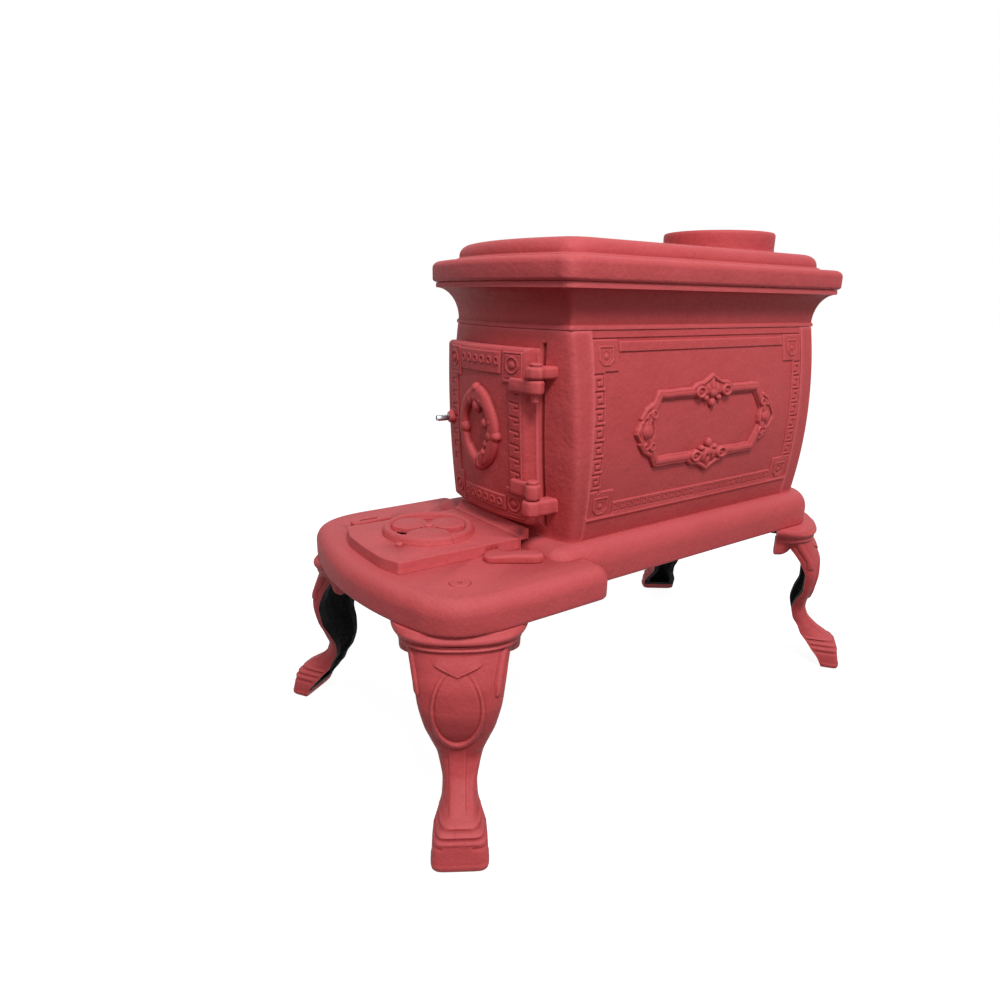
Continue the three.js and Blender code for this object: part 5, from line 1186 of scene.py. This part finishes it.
def door_lug(z0, z1):
    tip = front_y(52.0, (z0 + z1) / 2) - DOOR_THICK
    arm = np.array([[70, tip + 10], [56.0, tip + 4.5], [53.4, tip + 0.5], [53.6, tip - 3.0],
                    [56.4, tip - 4.8], [64, tip - 4.6], [78, tip - 2.6]])
    plan = refined(np.concatenate([knuckle(KNUCKLE - 1.4, -78, 128), arm]), 3.0)
    rough = 0.4 * waves(plan[:, 0] + z0, plan[:, 1], 37, 12.0, 5)
    return pillow(plan + unit(plan - plan.mean(0)) * rough[:, None], z0, z1, 3.4, 3.4)


def stove_door():
    body = join(door_solid(), door_lug(443.0, 458.6), door_lug(327.2, 345.0))
    clear = KNUCKLE + 1.2
    return cut(
        body,
        post(*HINGE, 458.7, 477, clear),
        post(*HINGE, 302.3, 327.1, clear),
        post(*HINGE, 280, 500, 4.7),
        spun(*LATCH, [(4.6, -80), (4.6, 20)]),
    )


piece(stove_door(), "door_cast", "door", PRIMER, ["door"], crease=50)

for label, seat, low in (("upper", 472.4, 434.0), ("lower", 345.0, 303.0)):
    shank = lifted(low, ((0.3, 0), (3.4, 0.2), (4.3, 1.4)))
    head = ((4.3, 0), (6.6, 0), (7.0, 0.7), (7.0, 2.4), (6.2, 3.3), (4.6, 3.6), (0.3, 3.6))
    pin = turned(*HINGE, shank + lifted(seat + GAP, head), 48)
    piece(pin, f"hinge_pin_{label}_round", "stove", PRIMER_BOLT, [f"hinge_pin_{label}"])

stud = spun(*LATCH, [(0.2, -55), (2.6, -55), (3.3, -54.5), (3.7, -53.4), (4.2, -52.4),
                     (4.2, 1.9), (3, 1.9), (3, 14), (0.2, 14)])
slot = box(LATCH[0] - 1, LATCH[0] + 1, -60, -46, LATCH[1] - 7, LATCH[1] + 7)
flat_top = box(LATCH[0] - 9, LATCH[0] + 11, -56, -38, LATCH[1] + 2.9, LATCH[1] + 8)
piece(cut(stud, slot, flat_top), "latch_spindle_turned", "latch", STEEL, ["latch_spindle"])


# ---------------------------------------------------------------- hearth cover and draft disc

COVER_LOW, COVER_TOP = HEARTH_Z + GAP, HEARTH_Z + GAP + 13
COVER_X, COVER_Y = (-74.0, 70.0), (-191.0, -28.0)
DISC = (-8.0, -104.0)


def sector(inner, outer, middle, half, steps=14):
    """The plan of an air hole round the register's middle."""
    turn = np.radians(np.linspace(middle - half, middle + half, steps))
    arc = np.column_stack([np.cos(turn), np.sin(turn)])
    return np.concatenate([arc * outer, (arc * inner)[::-1]]) + DISC


def hearth_cover():
    """The plate with its side handle, its upright sill, a nub and three air holes."""
    (x0, x1), (y0, y1) = COVER_X, COVER_Y
    shares = [[0, 0.08], [0.236, 0.012], [0.528, 0], [0.79, 0.006], [0.972, 0.055], [1, 1], [0.056, 1]]
    corners = [[x0 + (x1 - x0) * a, y0 + (y1 - y0) * b] for a, b in shares]
    plate = pillow(refined(softened(corners, 3.0), 4.0), COVER_LOW, COVER_TOP, 1.2, steps=4)
    grip = [[60, -58], [63, -71], [80, -87], [90, -86], [119, -42], [120, -33], [112, -29.5],
            [102, -31], [80, -60]]
    tongue = pillow(refined(softened(grip, 5.0), 3.0), COVER_LOW, COVER_LOW + 9.5, 3.8, 1.2)
    for corner in tongue.data.vertices:
        x = corner.co.x / MM - SHIFT[0]
        rise = corner.co.z / MM - SHIFT[2] - COVER_LOW
        thinner = 0.62 + 0.38 * float(smooth((x - 74) / 32))
        corner.co.z = (COVER_LOW + rise * thinner + SHIFT[2]) * MM
    section = np.array([[-30, COVER_LOW], [-17.4, COVER_LOW], [-17.4, 286.2], [-18.2, 287], [-20.4, 287],
                        [-21.4, 286.2], [-25.0, 281.2], [-28.4, COVER_TOP + 1.2], [-30, COVER_TOP + 0.6]])
    rows = [np.column_stack([np.full(len(section), x), section]) for x in np.linspace(-68, 71, 40)]
    low, high = COVER_LOW - 20, COVER_TOP + 20
    sill = cut(loft(rows), block(seat_plan(lean_at(SEAT_Z) - 1.0, 30, 50), low, 307))
    nub = turned(19.5, -157, lifted(COVER_TOP, ((4.4, -1), (4.2, 2.4), (3.2, 3.6), (1.4, 4), (0.2, 4))), 32)
    whole = join(plate, tongue, sill, nub)
    tools = [box(-136, 136, -28.3, 24, low, SEAT_Z + 0.3), post(*DISC, low, high, 3.4)]
    tools += [block(sector(13, 37, middle, 22), low, high) for middle in (120, 240, 360)]
    return cut(whole, *tools)


piece(hearth_cover(), "hearth_cover_cast", "cover", PRIMER, ["hearth_cover"])


def draft_disc():
    """Rolled ring with three swelling petals, a hub and a thumb tab."""
    low = COVER_TOP + GAP
    radius = np.concatenate([np.linspace(3.4, 42, 60)[:-1], np.linspace(42, 54, 22)])
    turn = np.linspace(0, 2 * math.pi, 289)
    r, t = np.meshgrid(radius, turn, indexing="ij")
    degrees = np.degrees(t)
    ring = 8.0 * dome(np.abs(r - 48) - 6.0, 6.0)
    empty = -1.0
    petal = np.full_like(r, empty)
    for middle, wide in ((90, 31), (210, 31), (330, 37)):
        away = np.radians((degrees - middle + 180) % 360 - 180)
        across, along = r * np.sin(away), r * np.cos(away)
        half = math.sin(math.radians(wide)) * 42 * np.sqrt(np.clip(1 - ((along - 27) / 21) ** 2, 0, 1))
        half = np.maximum(half, 5.0 * (along > 0) * (along < 20))
        inside = (np.abs(across) < half) & (along > 0)
        round_off = np.sqrt(np.clip(1 - (across / np.maximum(half, 0.1)) ** 2, 0, 1))
        height = 4.6 + 3.0 * round_off * np.clip((46 - np.abs(along - 27) * 1.2) / 46, 0.3, 1)
        petal = np.where(inside, np.maximum(petal, height), petal)
    hub = np.where(r < 9.0, 5.5, empty)
    top = np.maximum.reduce([petal, hub, np.where(r >= 42, np.maximum(ring, 2.4), empty)])
    there = top > 0
    keep = there[:-1, :-1] & there[1:, :-1] & there[:-1, 1:] & there[1:, 1:]
    top = np.where(there, top, 3.0)
    x, y = DISC[0] + r * np.cos(t), DISC[1] + r * np.sin(t)
    body = shell(np.stack([x, y, low + top], -1), np.stack([x, y, np.full_like(x, low)], -1), keep)
    angle = math.radians(-107)
    line = np.array([math.cos(angle), math.sin(angle)])
    side = np.array([-line[1], line[0]])
    outline = ((50, -5), (66, -4.2), (68, -2.6), (68, 2.6), (66, 4.2), (50, 5))
    plan = [DISC + line * a + side * b for a, b in outline]
    tab = pillow(softened(plan, 2.0), low, low + 7.0, 2.2, 0.6)
    return join(body, tab)


piece(draft_disc(), "draft_disc_cast", "draft", PRIMER, ["draft_disc"], crease=45)

foot = lifted(COVER_LOW, ((5, -2.3), (5, -GAP), (3, -GAP)))
head = lifted(COVER_TOP + GAP + 5.5 + GAP, ((3, 0), (5.5, 0), (5.5, 1.2), (4.4, 2.4), (2.4, 3), (0.2, 3)))
rivet = turned(*DISC, foot + head, 40)
piece(rivet, "draft_rivet_round", "cover", PRIMER_BOLT, ["draft_rivet"])


# ---------------------------------------------------------------- carried-over parts

for name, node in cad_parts.items():
    if node.hide_render:
        continue
    node.data.materials.clear()
    node.data.materials.append(IRON)
    edge = node.modifiers.new("edge", "BEVEL")
    edge.width, edge.segments, edge.limit_method = 0.0004, 2, "ANGLE"


# ---------------------------------------------------------------- stage, light and camera

WHITE = (1, 1, 1, 1)


def area_light(name, place_at, aim, size, power):
    data = bpy.data.lights.new(name, "AREA")
    data.shape, data.size, data.energy = "SQUARE", size, power
    lamp = bpy.data.objects.new(name, data)
    lamp.location = place_at
    lamp.rotation_euler = (Vector(aim) - Vector(place_at)).to_track_quat("-Z", "Y").to_euler()
    bpy.context.scene.collection.objects.link(lamp)


def seen_only(tree, seen, other):
    """Mixes the shader that is seen and reflected with the one that lights the room."""
    path = add_node(tree, "ShaderNodeLightPath")
    share = path.outputs["Is Camera Ray"]
    for ray in ("Is Glossy Ray", "Is Transmission Ray"):
        either = add_node(tree, "ShaderNodeMath", operation="MAXIMUM")
        tree.links.new(share, either.inputs[0])
        tree.links.new(path.outputs[ray], either.inputs[1])
        share = either.outputs[0]
    mix = add_node(tree, "ShaderNodeMixShader")
    for source, socket in ((share, 0), (other.outputs[0], 1), (seen.outputs[0], 2)):
        tree.links.new(source, mix.inputs[socket])
    return mix


def floor(reach=6.0):
    mesh = bpy.data.meshes.new("floor")
    corners = [(-reach, -reach, 0), (reach, -reach, 0), (reach, reach, 0), (-reach, reach, 0)]
    mesh.from_pydata(corners, [], [[0, 1, 2, 3]])
    obj = bpy.data.objects.new("floor", mesh)
    bpy.context.scene.collection.objects.link(obj)
    material = bpy.data.materials.new("pale_floor")
    material.use_nodes = True
    tree = material.node_tree
    tree.nodes.clear()
    out = add_node(tree, "ShaderNodeOutputMaterial")
    pale = add_node(tree, "ShaderNodeBsdfDiffuse", Color=(0.4, 0.4, 0.4, 1))
    lift = add_node(tree, "ShaderNodeEmission", Color=WHITE, Strength=0.93)
    both = add_node(tree, "ShaderNodeAddShader")
    tree.links.new(pale.outputs[0], both.inputs[0])
    tree.links.new(lift.outputs[0], both.inputs[1])
    dull = add_node(tree, "ShaderNodeBsdfDiffuse", Color=(0.1, 0.1, 0.1, 1))
    mix = seen_only(tree, both, dull)
    tree.links.new(mix.outputs[0], out.inputs["Surface"])
    mesh.materials.append(material)


def sky():
    world = bpy.data.worlds.new("room")
    bpy.context.scene.world = world
    world.use_nodes = True
    tree = world.node_tree
    tree.nodes.clear()
    out = add_node(tree, "ShaderNodeOutputWorld")
    bright = add_node(tree, "ShaderNodeBackground", Color=WHITE, Strength=1.0)
    soft = add_node(tree, "ShaderNodeBackground", Color=WHITE, Strength=0.25)
    mix = seen_only(tree, bright, soft)
    tree.links.new(mix.outputs[0], out.inputs["Surface"])


floor()
sky()
area_light("key_above", (1.65, -0.75, 2.75), (0.02, 0.02, 0.35), 0.8, 70)
area_light("side_right", (2.8, -0.5, 1.0), (0, 0.05, 0.3), 0.9, 9)

# The camera, in metres and degrees, as solved from the photograph
EYE = (0.6725, -0.4925 + SHIFT[1] * MM, 0.5426 - SOLE_Z * MM)
FOCAL, SENSOR = 0.7011, 36
yaw, pitch, roll = (math.radians(v) for v in (54.2, 16.2, 1.0))
back = Vector((math.sin(yaw) * math.cos(pitch), -math.cos(yaw) * math.cos(pitch), math.sin(pitch)))
right = Vector((math.cos(yaw), math.sin(yaw), 0))
up = back.cross(right)
view_x = right * math.cos(roll) + up * math.sin(roll)
view_y = up * math.cos(roll) - right * math.sin(roll)
lens = bpy.data.cameras.new("camera")
lens.lens, lens.sensor_width = FOCAL * SENSOR, SENSOR
camera = bpy.data.objects.new("camera", lens)
camera.matrix_world = Matrix((
    (view_x.x, view_y.x, back.x, EYE[0]),
    (view_x.y, view_y.y, back.y, EYE[1]),
    (view_x.z, view_y.z, back.z, EYE[2]),
    (0, 0, 0, 1),
))
bpy.context.scene.collection.objects.link(camera)
bpy.context.scene.camera = camera
bpy.context.scene.view_settings.view_transform = "Standard"
